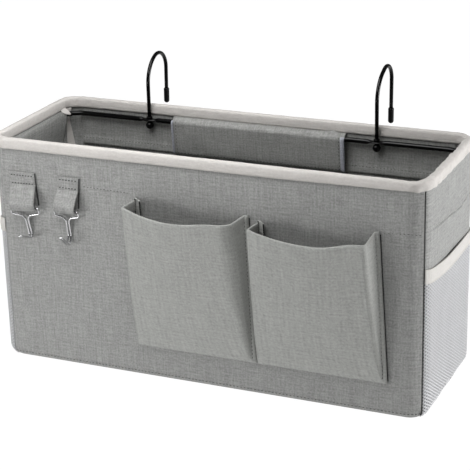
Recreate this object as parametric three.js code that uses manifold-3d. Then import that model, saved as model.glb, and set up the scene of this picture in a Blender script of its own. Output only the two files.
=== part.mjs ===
// Hanging bedside organizer: a canvas box on stiffening boards, with a steel rod frame in its rim,
// two swivelling rail hooks, two bellows pockets, two mesh side pockets and two wire hooks on straps.
// Millimetres. X runs left to right seen from the front, Y front to back, Z up.
// The origin is the centre of the box's base, on the surface that it stands on.

import * as THREE from 'three';
import { mergeVertices } from 'three/addons/utils/BufferGeometryUtils.js';
import Module from 'manifold-3d';

const wasm = await Module();
wasm.setup();

// Box
const BOX_WIDTH = 390;
const BOX_DEPTH = 140;
const BOX_HEIGHT = 205;
const CORNER_RADIUS = 16;
const BASE_RADIUS = 10;
const BASE_SEAM_ANGLE = 45;
const CORNER_SEAM_ANGLE = 53;

// Cloth, boards and the clearances between layers
const CLOTH = 0.6;
const BOARD = 1.5;
const BASE_BOARD = 2.0;
const LAYER_GAP = 0.15;
const SEAM_GAP = 0.3;
const BOARD_TO_ROD = 2.0;
const TAPE = 0.7;
const TAPE_DROP = 8;

// Rod frame and the pierced pads that carry the rail hooks
const ROD = 4.5;
const ROD_BELOW_RIM = 13.5;
const ROD_FRONT_BEND = 13;
const ROD_REAR_BEND = 20;
const ROD_BUTT_GAP = 0.4;
const PAD_LENGTH = 18;
const PAD_WIDTH = 8;
const PAD_THICKNESS = 2.6;
const PAD_NECK = 13;
const PIVOT_CLEARANCE = 0.3;

// Casing of the rod along the front and sides, facing and sleeve over it at the back
const CASING_HALF_HEIGHT = 2.6;
const CASING_TAPER = 2.9;
const FACING_DEPTH = 44;
const SLEEVE_WIDTH = 167;
const SLEEVE_OFFSET = -2.5;
const SLEEVE_HEM = 7;
const CORNER_STRIP = 0.8;
const CORNER_STRIP_DEPTH = 47;
const CORNER_STRIP_ANGLE = 25;

// Rail hooks
const HOOK_SPACING = 217;
const HOOK_OFFSET = 1.5;
const HOOK_WIRE = 3.4;
const HOOK_BALL = 7;
const HOOK_COLLAR = 5.4;
const HOOK_COLLAR_HEIGHT = 1.4;
const HOOK_LEG_LEAN = 2;
const HOOK_LEG_END = 8.6;
const LEFT_HOOK = { shoulder: 48.4, shoulderBend: 25.6, peak: 66.7, peakBend: 16.2, reach: 38.8 };
const RIGHT_HOOK = { shoulder: 50.7, shoulderBend: 26.3, peak: 69.4, peakBend: 14.4, reach: 40.4 };
const CAP = 5;
const CAP_LENGTH = 14;
const CAP_WALL_END = 2.2;

// Bellows pockets on the front
const POCKET_CLOTH = 1.0;
const POCKET_BASE = 32;
const POCKET_FOOT_DEPTH = 1.2;
const POCKET_SWELL_POWER = 0.62;
const POCKET_CROWN = 2.5;
const POCKET_EDGE_DEPTH = 3.2;
const POCKET_FOLD_RADIUS = 2.4;
const LEFT_POCKET = {
  left: -59,
  right: 50,
  topRight: 46,
  depth: 22.5,
  corner: 163,
  lip: 154.7,
  heel: 162,
  fall: 36,
  fallPower: 1.7,
};
const RIGHT_POCKET = {
  left: 52,
  right: 165,
  topRight: 157.5,
  depth: 20.5,
  corner: 156.5,
  lip: 149.5,
  heel: 161.5,
  fall: 42,
  fallPower: 3.2,
};
const GUSSET_TAB_WIDTH = 6;
const GUSSET_TAB_RISE = 2.5;
const GUSSET_TAB_LENGTH = 95;

// Mesh pockets on the sides
const MESH = 0.8;
const MESH_BULGE = 6.5;
const BAND_WIDTH = 12.5;
const BAND_FRONT_HEIGHT = 132;
const BAND_MIDDLE_HEIGHT = 126;
const BAND_REAR_HEIGHT = 124;

// Straps and the wire hooks that they carry
const STRAP = 1.0;
const STRAP_BELOW_RIM = 28.5;
const STRAP_SEWN = 11;
const STRAP_LOOP_RADIUS = 3.8;
const STRAP_TO_BAR_END = 1.5;
const SMALL_WIRE = 1.6;
const SMALL_RING_DROP = 5;
const SMALL_NECK_DROP = 7;
const SMALL_SHANK_SPACING = 2.7;
const SMALL_RING_BEND = 2.3;
const SMALL_NECK_BEND = 5;
const SMALL_FOOT_BEND = 2;
const SMALL_FOOT_SLOPE = 1.4;
const SMALL_BUTT_GAP = 0.4;
const STATIONS = [
  {
    side: 'left',
    centre: -164,
    strapWidth: 24.5,
    strapLength: 33.5,
    lean: 2.4,
    tilt: 5,
    drop: 27.5,
    kick: 2,
    reach: 16.5,
    rise: 9.5,
  },
  {
    side: 'right',
    centre: -118.8,
    strapWidth: 20,
    strapLength: 31,
    lean: -2,
    tilt: 0,
    drop: 31,
    kick: 5,
    reach: 15,
    rise: 13,
  },
];

// Facets
const CORNER_STEPS = 8;
const BASE_STEPS = 3;
const BEND_STEPS = 6;
const ROD_SIDES = 10;
const SMALL_SIDES = 8;
const HOOK_SIDES = 10;
const HOOK_BEND_STEPS = 9;

// Places that follow from the sizes above
const boardInset = CLOTH + LAYER_GAP;
const liningInset = boardInset + BOARD + LAYER_GAP;
const wall = liningInset + CLOTH;
const frontFace = -BOX_DEPTH / 2;
const rimTop = BOX_HEIGHT - TAPE - LAYER_GAP;
const rodHeight = BOX_HEIGHT - ROD_BELOW_RIM;
const rodWallInset = CLOTH + LAYER_GAP + ROD / 2;
const casingInset = rodWallInset + ROD / 2 + LAYER_GAP;
const boardTop = rodHeight - ROD / 2 - BOARD_TO_ROD;
const facingInset = wall + LAYER_GAP;
const sleeveInset = facingInset + CLOTH + LAYER_GAP;
const rodBackInset = facingInset + CLOTH + PIVOT_CLEARANCE + PAD_WIDTH / 2;
const rodBack = BOX_DEPTH / 2 - rodBackInset;
const liningSplit = rodBack - ROD_REAR_BEND;
const facingBottom = BOX_HEIGHT - FACING_DEPTH;
const strapBack = frontFace - SEAM_GAP;
const strapTop = BOX_HEIGHT - STRAP_BELOW_RIM;
const strapLoopY = strapBack - STRAP - STRAP_LOOP_RADIUS;
const barAboveStrapEnd = STRAP + SEAM_GAP + SMALL_WIRE / 2;

const radians = THREE.MathUtils.degToRad;
const lerp = THREE.MathUtils.lerp;
const smoothstep = THREE.MathUtils.smoothstep;
const vector = (x, y, z) => new THREE.Vector3(x, y, z);

// Materials
const finish = (color, roughness, metalness = 0) => new THREE.MeshStandardMaterial({ color, roughness, metalness });
const CANVAS = 0x8f918e;
const LINING = 0x7c7e7c;
const CREAM = 0xe2ddd4;
const NET = 0xc9cdd2;
const BLACK = 0x0c0c0d;
const NICKEL = 0xb9bbbe;
const PLATE = 0xd9d4c8;

// A station is a place on the box's outline in plan: a point of the rectangle that joins the corner
// centres, and the outward direction there. The wall's surface lies along that direction.
const halfX = BOX_WIDTH / 2 - CORNER_RADIUS;
const halfY = BOX_DEPTH / 2 - CORNER_RADIUS;

function cornerStations(signX, signY, from, to, steps = CORNER_STEPS) {
  const list = [];
  for (let i = 0; i <= steps; i += 1) {
    const angle = radians(lerp(from, to, i / steps));
    list.push({ x: signX * halfX, y: signY * halfY, nx: Math.cos(angle), ny: Math.sin(angle) });
  }
  return list;
}

function flatStations(x0, y0, x1, y1, nx, ny, steps) {
  const list = [];
  for (let i = 0; i <= steps; i += 1) {
    list.push({ x: lerp(x0, x1, i / steps), y: lerp(y0, y1, i / steps), nx, ny });
  }
  return list;
}

function onWall(station, inset, z) {
  const reach = CORNER_RADIUS - inset;
  return vector(station.x + station.nx * reach, station.y + station.ny * reach, z);
}

const fullOutline = [
  ...cornerStations(1, -1, -90, 0),
  ...cornerStations(1, 1, 0, 90),
  ...cornerStations(-1, 1, 90, 180),
  ...cornerStations(-1, -1, 180, 270),
];
const seam = CORNER_SEAM_ANGLE;
const seamGapAngle = THREE.MathUtils.radToDeg(SEAM_GAP / CORNER_RADIUS);
const frontOutline = [...cornerStations(-1, -1, 270 - seam, 270), ...cornerStations(1, -1, -90, seam - 90)];
const backOutline = [...cornerStations(1, 1, 90 - seam, 90), ...cornerStations(-1, 1, 90, 90 + seam)];
const rightOutline = [
  ...cornerStations(1, -1, seam - 90 + seamGapAngle, 0, 3),
  ...cornerStations(1, 1, 0, 90 - seam - seamGapAngle, 3),
];
const leftOutline = [
  ...cornerStations(-1, 1, 90 + seam + seamGapAngle, 180, 3),
  ...cornerStations(-1, -1, 180, 270 - seam - seamGapAngle, 3),
];

// Rows of a wall from its top to the base seam: upright, then curving in round the base edge.
// The two faces of a layer keep the same angles, so the layer has one thickness all over.
function wallRows(inset, top, endAngle = BASE_SEAM_ANGLE, startAngle = 0) {
  const rows = startAngle === 0 ? [{ inset, z: top }] : [];
  const radius = BASE_RADIUS - inset;
  for (let i = 0; i <= BASE_STEPS; i += 1) {
    const angle = radians(lerp(startAngle, endAngle, i / BASE_STEPS));
    rows.push({
      inset: BASE_RADIUS - radius * Math.cos(angle),
      z: BASE_RADIUS - radius * Math.sin(angle),
    });
  }
  return rows;
}

// Closed body from two grids of points of the same size: its outer face and its inner face
function thickSheet(outer, inner) {
  const rows = outer.length;
  const cols = outer[0].length;
  const positions = [];
  for (const grid of [outer, inner]) {
    for (const row of grid) {
      for (const p of row) {
        positions.push(p.x, p.y, p.z);
      }
    }
  }
  const at = (layer, j, i) => layer * rows * cols + j * cols + i;
  const index = [];
  const quad = (a, b, c, d) => index.push(a, b, c, a, c, d);
  for (let j = 0; j < rows - 1; j += 1) {
    for (let i = 0; i < cols - 1; i += 1) {
      quad(at(0, j, i), at(0, j + 1, i), at(0, j + 1, i + 1), at(0, j, i + 1));
      quad(at(1, j, i), at(1, j, i + 1), at(1, j + 1, i + 1), at(1, j + 1, i));
    }
    quad(at(0, j, 0), at(1, j, 0), at(1, j + 1, 0), at(0, j + 1, 0));
    quad(at(0, j, cols - 1), at(0, j + 1, cols - 1), at(1, j + 1, cols - 1), at(1, j, cols - 1));
  }
  for (let i = 0; i < cols - 1; i += 1) {
    quad(at(0, 0, i), at(0, 0, i + 1), at(1, 0, i + 1), at(1, 0, i));
    quad(at(0, rows - 1, i), at(1, rows - 1, i), at(1, rows - 1, i + 1), at(0, rows - 1, i + 1));
  }
  return indexed(positions, index);
}

function indexed(positions, index) {
  const geometry = new THREE.BufferGeometry();
  geometry.setAttribute('position', new THREE.Float32BufferAttribute(positions, 3));
  geometry.setIndex(index);
  geometry.computeVertexNormals();
  return geometry;
}

// Closed body from rings round the whole outline, capped at both ends, or joined end to end
function ringLoft(rows, joined = false) {
  const count = fullOutline.length;
  const positions = [];
  for (const row of rows) {
    for (const station of fullOutline) {
      const p = onWall(station, row.inset, row.z);
      positions.push(p.x, p.y, p.z);
    }
  }
  const index = [];
  const last = joined ? rows.length : rows.length - 1;
  for (let j = 0; j < last; j += 1) {
    const next = (j + 1) % rows.length;
    for (let i = 0; i < count; i += 1) {
      const side = (i + 1) % count;
      index.push(j * count + i, j * count + side, next * count + side);
      index.push(j * count + i, next * count + side, next * count + i);
    }
  }
  if (!joined) {
    const lower = positions.length / 3;
    positions.push(0, 0, rows[0].z, 0, 0, rows.at(-1).z);
    const end = (rows.length - 1) * count;
    for (let i = 0; i < count; i += 1) {
      const side = (i + 1) % count;
      index.push(lower, side, i);
      index.push(lower + 1, end + i, end + side);
    }
  }
  return indexed(positions, index);
}

// One layer of a wall along a stretch of the outline
function wallLayer(stations, outerRows, innerRows) {
  const grid = (rows) => rows.map((row) => stations.map((station) => onWall(station, row.inset, row.z)));
  return thickSheet(grid(outerRows), grid(innerRows));
}

// A tray-shaped layer of the base: the flat floor and the rim that curves up to the base seam
function trayLayer(inset, thickness, startAngle) {
  const outer = wallRows(inset, 0, 90, startAngle);
  const inner = wallRows(inset + thickness, 0, 90, startAngle);
  return ringLoft([...outer.reverse(), ...inner]);
}

// Path with one ring of the tube at each of its points, so that rings gather at the bends
class StationPath extends THREE.Curve {
  constructor(points) {
    super();
    this.points = points;
  }

  getPoint(t) {
    const place = t * (this.points.length - 1);
    const i = Math.min(Math.floor(place), this.points.length - 2);
    return this.points[i].clone().lerp(this.points[i + 1], place - i);
  }

  getPointAt(u) {
    return this.getPoint(u);
  }

  getTangentAt(u) {
    const i = Math.round(u * (this.points.length - 1));
    const before = this.points[Math.max(i - 1, 0)];
    const after = this.points[Math.min(i + 1, this.points.length - 1)];
    const here = this.points[i];
    const arriving = here.clone().sub(before).normalize();
    const leaving = after.clone().sub(here).normalize();
    return arriving.add(leaving).normalize();
  }
}

// Points of a bent rod: straight runs between the corners, and a true arc at each bend
function bentPath(corners, steps = BEND_STEPS) {
  const points = [corners[0].at.clone()];
  for (let i = 1; i < corners.length - 1; i += 1) {
    const { at, bend } = corners[i];
    const arriving = at.clone().sub(corners[i - 1].at).normalize();
    const leaving = corners[i + 1].at.clone().sub(at).normalize();
    const turn = arriving.angleTo(leaving);
    const start = at.clone().addScaledVector(arriving, -bend * Math.tan(turn / 2));
    const inward = leaving.clone().sub(arriving).normalize();
    const centre = at.clone().addScaledVector(inward, bend / Math.cos(turn / 2));
    const axis = arriving.clone().cross(leaving).normalize();
    for (let k = 0; k <= steps; k += 1) {
      const spoke = start.clone().sub(centre).applyAxisAngle(axis, (turn * k) / steps);
      points.push(centre.clone().add(spoke));
    }
  }
  points.push(corners.at(-1).at.clone());
  return points;
}

function roundBar(points, diameter, sides) {
  const section = new THREE.Shape();
  for (let i = 0; i < sides; i += 1) {
    const angle = (2 * Math.PI * i) / sides;
    const place = [(diameter / 2) * Math.cos(angle), (diameter / 2) * Math.sin(angle)];
    if (i === 0) {
      section.moveTo(...place);
    } else {
      section.lineTo(...place);
    }
  }
  section.closePath();
  const path = new StationPath(points);
  return new THREE.ExtrudeGeometry(section, { steps: points.length - 1, bevelEnabled: false, extrudePath: path });
}

// Joining and cutting
function toSolid(geometry) {
  const bare = geometry.clone();
  bare.deleteAttribute('normal');
  bare.deleteAttribute('uv');
  const merged = mergeVertices(bare, 1e-4);
  return new wasm.Manifold(new wasm.Mesh({
    numProp: 3,
    vertProperties: new Float32Array(merged.attributes.position.array),
    triVerts: new Uint32Array(merged.index.array),
  }));
}

function fromSolid(solid) {
  const result = solid.getMesh();
  return indexed(Array.from(result.vertProperties), Array.from(result.triVerts));
}

function cylinder(radius, height, sides, x, y, z) {
  const geometry = new THREE.CylinderGeometry(radius, radius, height, sides);
  geometry.rotateX(Math.PI / 2);
  geometry.translate(x, y, z);
  return geometry;
}

function block(sizeX, sizeY, sizeZ, x, y, z) {
  const geometry = new THREE.BoxGeometry(sizeX, sizeY, sizeZ);
  geometry.translate(x, y, z);
  return geometry;
}

// Flat board with rounded corners, standing in a wall or lying on the base
function roundedPlate(width, height, thickness, radius) {
  const shape = new THREE.Shape();
  const w = width / 2;
  const h = height / 2;
  shape.moveTo(-w + radius, -h);
  shape.lineTo(w - radius, -h);
  shape.absarc(w - radius, -h + radius, radius, -Math.PI / 2, 0);
  shape.lineTo(w, h - radius);
  shape.absarc(w - radius, h - radius, radius, 0, Math.PI / 2);
  shape.lineTo(-w + radius, h);
  shape.absarc(-w + radius, h - radius, radius, Math.PI / 2, Math.PI);
  shape.lineTo(-w, -h + radius);
  shape.absarc(-w + radius, -h + radius, radius, Math.PI, 1.5 * Math.PI);
  return new THREE.ExtrudeGeometry(shape, { depth: thickness, bevelEnabled: false, curveSegments: 3 });
}

const organizer = new THREE.Group();

function addMesh(parent, name, geometry, material) {
  const mesh = new THREE.Mesh(geometry, material);
  mesh.name = name;
  parent.add(mesh);
  return mesh;
}

// Outer cloth panels, sewn together at upright seams near the corners and at the base seam
function addPanels() {
  const outer = wallRows(0, rimTop);
  const inner = wallRows(CLOTH, rimTop);
  const canvas = finish(CANVAS, 0.92);
  addMesh(organizer, 'front_panel', wallLayer(frontOutline, outer, inner), canvas);
  addMesh(organizer, 'back_panel', wallLayer(backOutline, outer, inner), canvas);
  addMesh(organizer, 'left_panel', wallLayer(leftOutline, outer, inner), canvas);
  addMesh(organizer, 'right_panel', wallLayer(rightOutline, outer, inner), canvas);
  const gapAngle = THREE.MathUtils.radToDeg(SEAM_GAP / (BASE_RADIUS - CLOTH));
  addMesh(organizer, 'base_panel', trayLayer(0, CLOTH, BASE_SEAM_ANGLE + gapAngle), canvas);
}

// Stiffening boards between the panels and the lining
function addBoards() {
  const material = finish(PLATE, 0.7);
  const height = boardTop - BASE_RADIUS;
  const middle = (boardTop + BASE_RADIUS) / 2;
  const radius = CLOTH * 5;
  for (const [name, turn] of [['front_board', 0], ['right_board', 1], ['back_board', 2], ['left_board', 3]]) {
    const across = turn % 2 === 0;
    const width = 2 * (across ? halfX : halfY);
    const face = (across ? BOX_DEPTH : BOX_WIDTH) / 2;
    const geometry = roundedPlate(width, height, BOARD, radius);
    geometry.rotateX(Math.PI / 2);
    geometry.translate(0, -(face - boardInset - BOARD), middle);
    geometry.rotateZ((turn * Math.PI) / 2);
    addMesh(organizer, name, geometry, material);
  }
  const inset = BASE_RADIUS + LAYER_GAP;
  const base = roundedPlate(BOX_WIDTH - 2 * inset, BOX_DEPTH - 2 * inset, BASE_BOARD, CORNER_RADIUS - BASE_RADIUS);
  base.translate(0, 0, boardInset);
  addMesh(organizer, 'base_board', base, material);
}

// Lining: front and sides in one piece with the rod's casing, back piece, and base piece
function addLining(rodPoints) {
  const material = finish(LINING, 0.95);
  const casingRows = (extra) => {
    const rows = wallRows(liningInset + extra, rimTop);
    const top = rows.shift();
    const flank = CASING_HALF_HEIGHT + CASING_TAPER;
    return [
      top,
      { inset: liningInset + extra, z: rodHeight + flank },
      { inset: casingInset + extra, z: rodHeight + CASING_HALF_HEIGHT },
      { inset: casingInset + extra, z: rodHeight - CASING_HALF_HEIGHT },
      { inset: liningInset + extra, z: rodHeight - flank },
      ...rows,
    ];
  };
  const wrapEnd = liningSplit - SEAM_GAP;
  const wrap = [
    { x: -halfX, y: wrapEnd, nx: -1, ny: 0 },
    ...cornerStations(-1, -1, 180, 270),
    ...cornerStations(1, -1, -90, 0),
    { x: halfX, y: wrapEnd, nx: 1, ny: 0 },
  ];
  addMesh(organizer, 'lining_wrap', wallLayer(wrap, casingRows(0), casingRows(CLOTH)), material);

  const back = [
    { x: halfX, y: liningSplit, nx: 1, ny: 0 },
    ...cornerStations(1, 1, 0, 90),
    ...cornerStations(-1, 1, 90, 180),
    { x: -halfX, y: liningSplit, nx: -1, ny: 0 },
  ];
  const sheet = wallLayer(back, wallRows(liningInset, rimTop), wallRows(wall, rimTop));
  const passage = roundBar(rodPoints, ROD + 2 * SEAM_GAP, ROD_SIDES);
  addMesh(organizer, 'lining_back', fromSolid(toSolid(sheet).subtract(toSolid(passage))), material);

  const lift = boardInset + BASE_BOARD + LAYER_GAP;
  const floor = roundedPlate(
    BOX_WIDTH - 2 * (wall + BASE_RADIUS / 2),
    BOX_DEPTH - 2 * (wall + BASE_RADIUS / 2),
    CLOTH,
    CORNER_RADIUS - BASE_RADIUS / 2,
  );
  floor.translate(0, 0, lift);
  addMesh(organizer, 'lining_base', floor, material);
}

// Facing along the top of the back wall, and the sleeve that holds the rod there
function addFacing() {
  const material = finish(LINING, 0.95);
  const rows = (inset) => [{ inset, z: rimTop }, { inset, z: facingBottom }];
  const stations = flatStations(halfX, halfY, -halfX, halfY, 0, 1, 1);
  addMesh(organizer, 'back_facing', wallLayer(stations, rows(facingInset), rows(facingInset + CLOTH)), material);

  const over = rodBackInset + ROD / 2 + LAYER_GAP;
  const right = SLEEVE_OFFSET + SLEEVE_WIDTH / 2;
  const sleeveStations = flatStations(right, halfY, right - SLEEVE_WIDTH, halfY, 0, 1, 1);
  const sleeveRows = (extra) => [
    { inset: sleeveInset + extra, z: rimTop - TAPE_DROP },
    { inset: sleeveInset + extra, z: rodHeight + ROD },
    { inset: over + extra, z: rodHeight + ROD / 3 },
    { inset: over + extra, z: rodHeight - ROD / 3 },
    { inset: sleeveInset + extra, z: facingBottom + SLEEVE_HEM },
    { inset: sleeveInset + extra, z: facingBottom },
  ];
  addMesh(organizer, 'rod_sleeve', wallLayer(sleeveStations, sleeveRows(0), sleeveRows(CLOTH)), material);

  const strip = finish(CREAM, 0.9);
  for (const [name, signX, middle] of [['left_corner_strip', -1, 135], ['right_corner_strip', 1, 45]]) {
    const from = middle - CORNER_STRIP_ANGLE;
    const arc = cornerStations(signX, 1, from, middle + CORNER_STRIP_ANGLE, 4);
    const inset = wall + LAYER_GAP;
    const stripRows = (extra) => [
      { inset: inset + extra, z: rimTop - TAPE_DROP - SEAM_GAP },
      { inset: inset + extra, z: BOX_HEIGHT - CORNER_STRIP_DEPTH },
    ];
    addMesh(organizer, name, wallLayer(arc, stripRows(0), stripRows(CORNER_STRIP)), strip);
  }
}

// Binding tape folded over the rim, outside and inside
function addRimTape() {
  const clear = LAYER_GAP;
  const outside = -(clear + TAPE);
  const inside = facingInset + CLOTH + clear;
  const low = rimTop - TAPE_DROP;
  const soften = TAPE / 2;
  const rows = [
    { inset: outside, z: low },
    { inset: outside, z: BOX_HEIGHT - soften },
    { inset: outside + soften, z: BOX_HEIGHT },
    { inset: inside + soften, z: BOX_HEIGHT },
    { inset: inside + TAPE, z: BOX_HEIGHT - soften },
    { inset: inside + TAPE, z: low },
    { inset: inside, z: low },
    { inset: inside, z: rimTop + clear },
    { inset: -clear, z: rimTop + clear },
    { inset: -clear, z: low },
  ];
  addMesh(organizer, 'rim_tape', ringLoft(rows, true), finish(CREAM, 0.9));
}

// Rod frame: one bent rod whose ends butt in the front casing, flattened and pierced at two pads
function rodPath() {
  const x = BOX_WIDTH / 2 - rodWallInset;
  const front = frontFace + rodWallInset;
  return bentPath([
    { at: vector(ROD_BUTT_GAP / 2, front, rodHeight) },
    { at: vector(x, front, rodHeight), bend: ROD_FRONT_BEND },
    { at: vector(x, rodBack, rodHeight), bend: ROD_REAR_BEND },
    { at: vector(-x, rodBack, rodHeight), bend: ROD_REAR_BEND },
    { at: vector(-x, front, rodHeight), bend: ROD_FRONT_BEND },
    { at: vector(-ROD_BUTT_GAP / 2, front, rodHeight) },
  ]);
}

function padOutline() {
  const reach = PAD_LENGTH / 2;
  const bow = (reach * reach + (PAD_WIDTH / 2) ** 2) / PAD_WIDTH;
  const sweep = Math.asin(reach / bow);
  const shape = new THREE.Shape();
  const offset = bow - PAD_WIDTH / 2;
  shape.absarc(0, -offset, bow, Math.PI / 2 - sweep, Math.PI / 2 + sweep);
  shape.absarc(0, offset, bow, 1.5 * Math.PI - sweep, 1.5 * Math.PI + sweep);
  return shape;
}

function addFrame(rodPoints) {
  let frame = toSolid(roundBar(rodPoints, ROD, ROD_SIDES));
  for (const side of [-1, 1]) {
    const x = HOOK_OFFSET + (side * HOOK_SPACING) / 2;
    for (const level of [-1, 1]) {
      const z = rodHeight + level * (PAD_THICKNESS + ROD) / 2;
      frame = frame.subtract(toSolid(block(PAD_NECK, PAD_WIDTH, ROD, x, rodBack, z)));
    }
    const pad = new THREE.ExtrudeGeometry(padOutline(), {
      depth: PAD_THICKNESS,
      bevelEnabled: false,
      curveSegments: 8,
    });
    pad.translate(x, rodBack, rodHeight - PAD_THICKNESS / 2);
    frame = frame.add(toSolid(pad));
    const bore = cylinder(HOOK_WIRE / 2 + PIVOT_CLEARANCE, ROD * 2, 16, x, rodBack, rodHeight);
    frame = frame.subtract(toSolid(bore));
  }
  addMesh(organizer, 'frame_rod', fromSolid(frame), finish(BLACK, 0.35, 0.4));
}

// Rail hook: its ball hangs under the pad, its collar rests on it, and its crook reaches back
// over the rail, rising in an easy bend to a tighter one. The group's origin is the pad's middle.
function addRailHook(name, side, { shoulder, shoulderBend, peak, peakBend, reach }) {
  const hook = new THREE.Group();
  hook.position.set(HOOK_OFFSET + (side * HOOK_SPACING) / 2, rodBack, rodHeight);
  const ballCentre = -(PAD_THICKNESS + HOOK_BALL) / 2 - PIVOT_CLEARANCE;
  const legTop = vector(0, reach, peak);
  const legEnd = vector(0, reach - HOOK_LEG_LEAN, HOOK_LEG_END);
  const wirePath = bentPath([
    { at: vector(0, 0, ballCentre) },
    { at: vector(0, 0, shoulder), bend: shoulderBend },
    { at: legTop, bend: peakBend },
    { at: legEnd },
  ], HOOK_BEND_STEPS);
  const ball = new THREE.SphereGeometry(HOOK_BALL / 2, 14, 10);
  ball.rotateX(Math.PI / 2);
  ball.translate(0, 0, ballCentre);
  const collarHeight = PAD_THICKNESS / 2 + PIVOT_CLEARANCE + HOOK_COLLAR_HEIGHT / 2;
  const collar = cylinder(HOOK_COLLAR / 2, HOOK_COLLAR_HEIGHT, 16, 0, 0, collarHeight);
  const wire = toSolid(roundBar(wirePath, HOOK_WIRE, HOOK_SIDES)).add(toSolid(ball)).add(toSolid(collar));
  addMesh(hook, `${name}_wire`, fromSolid(wire), finish(BLACK, 0.3, 0.5));

  const bore = HOOK_WIRE / 2 + SEAM_GAP;
  const outer = CAP / 2;
  const profile = [new THREE.Vector2(0, -CAP_WALL_END)];
  for (let i = 1; i <= 4; i += 1) {
    const angle = radians(-90 + (90 * i) / 4);
    profile.push(new THREE.Vector2(outer * Math.cos(angle), outer - CAP_WALL_END + outer * Math.sin(angle)));
  }
  const mouth = CAP_LENGTH - CAP_WALL_END;
  profile.push(new THREE.Vector2(outer, mouth - 1));
  profile.push(new THREE.Vector2(outer - 0.5, mouth));
  profile.push(new THREE.Vector2(bore, mouth));
  profile.push(new THREE.Vector2(bore, -SEAM_GAP));
  profile.push(new THREE.Vector2(0, -SEAM_GAP));
  const cap = addMesh(hook, `${name}_cap`, new THREE.LatheGeometry(profile, 16), finish(BLACK, 0.6));
  cap.position.copy(legEnd);
  const legUp = legTop.clone().sub(legEnd).normalize();
  cap.quaternion.setFromUnitVectors(vector(0, 1, 0), legUp);
  organizer.add(hook);
}

// Bellows pocket. Seen from above, its cloth leaves the box's face at the left, comes straight
// forward as a gusset, crosses the front and falls back to a narrow fold on the right.
function pocketOutline(pocket, share) {
  const right = lerp(pocket.right, pocket.topRight, share);
  const rest = SEAM_GAP + POCKET_CLOTH / 2;
  const depth = lerp(POCKET_FOOT_DEPTH, pocket.depth, share ** POCKET_SWELL_POWER);
  const edge = Math.min(depth, POCKET_EDGE_DEPTH);
  const open = (depth - rest) / (pocket.depth - rest);
  const foldRadius = Math.min(POCKET_FOLD_RADIUS, (depth - rest) / 2);
  const points = [
    { x: pocket.left + 1.5 * open, y: rest },
    { x: pocket.left + 0.5 * open, y: lerp(rest, depth - foldRadius, 0.6) },
  ];
  for (let i = 0; i <= 4; i += 1) {
    const angle = radians(180 - (90 * i) / 4);
    points.push({
      x: pocket.left + foldRadius * (1 + Math.cos(angle)),
      y: depth - foldRadius + foldRadius * Math.sin(angle),
    });
  }
  const start = pocket.left + foldRadius;
  const fallStart = right - pocket.fall;
  for (let i = 1; i <= 8; i += 1) {
    const t = i / 8;
    points.push({
      x: lerp(start, fallStart, t),
      y: depth + POCKET_CROWN * open * Math.sin(Math.PI * t) * (1 - t / 2),
      across: t,
    });
  }
  const side = edge - rest;
  for (let i = 1; i <= 9; i += 1) {
    const t = 1 - (1 - i / 9) ** 1.4;
    points.push({
      x: lerp(fallStart, right - side, t),
      y: lerp(depth, edge, t ** pocket.fallPower),
      fallen: t ** pocket.fallPower,
    });
  }
  points.push({ x: right - side * 0.3, y: edge - side * 0.3, fallen: 1 });
  points.push({ x: right, y: rest, fallen: 1 });
  return points;
}

// The lip is lowest in the middle of the front, and climbs to the corner and to the right seam
function lipHeight(pocket, point) {
  if (point.fallen !== undefined) {
    return lerp(pocket.lip, pocket.heel, point.fallen ** 1.3);
  }
  const dip = Math.min(1, (point.across ?? 0) / 0.55);
  return lerp(pocket.corner, pocket.lip, 1 - (1 - dip) ** 2);
}

function addPocket(name, pocket) {
  const rows = 9;
  const outer = [];
  const inner = [];
  for (let j = rows; j >= 0; j -= 1) {
    const share = (j / rows) ** 1.3;
    const points = pocketOutline(pocket, share);
    const outerRow = [];
    const innerRow = [];
    points.forEach((point, i) => {
      const before = points[Math.max(i - 1, 0)];
      const after = points[Math.min(i + 1, points.length - 1)];
      const along = new THREE.Vector2(after.x - before.x, after.y - before.y).normalize();
      const across = new THREE.Vector2(-along.y, along.x).multiplyScalar(POCKET_CLOTH / 2);
      const z = lerp(POCKET_BASE, lipHeight(pocket, point), share);
      const outY = Math.max(point.y + across.y, SEAM_GAP);
      const inY = Math.max(point.y - across.y, SEAM_GAP);
      outerRow.push(vector(point.x + across.x, frontFace - outY, z));
      innerRow.push(vector(point.x - across.x, frontFace - inY, z));
    });
    outer.push(outerRow);
    inner.push(innerRow);
  }
  addMesh(organizer, name, thickSheet(outer, inner), finish(CANVAS, 0.92));

  // The gusset's seam allowance, turned in along the face behind the open corner
  const tabTop = pocket.corner + GUSSET_TAB_RISE;
  const tabLeft = pocket.left + 1.5 + POCKET_CLOTH / 2 + SEAM_GAP;
  const tab = block(
    GUSSET_TAB_WIDTH,
    CLOTH,
    GUSSET_TAB_LENGTH,
    tabLeft + GUSSET_TAB_WIDTH / 2,
    frontFace - SEAM_GAP - CLOTH / 2,
    tabTop - GUSSET_TAB_LENGTH / 2,
  );
  addMesh(organizer, `${name}_tab`, tab, finish(CANVAS, 0.92));
}

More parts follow.
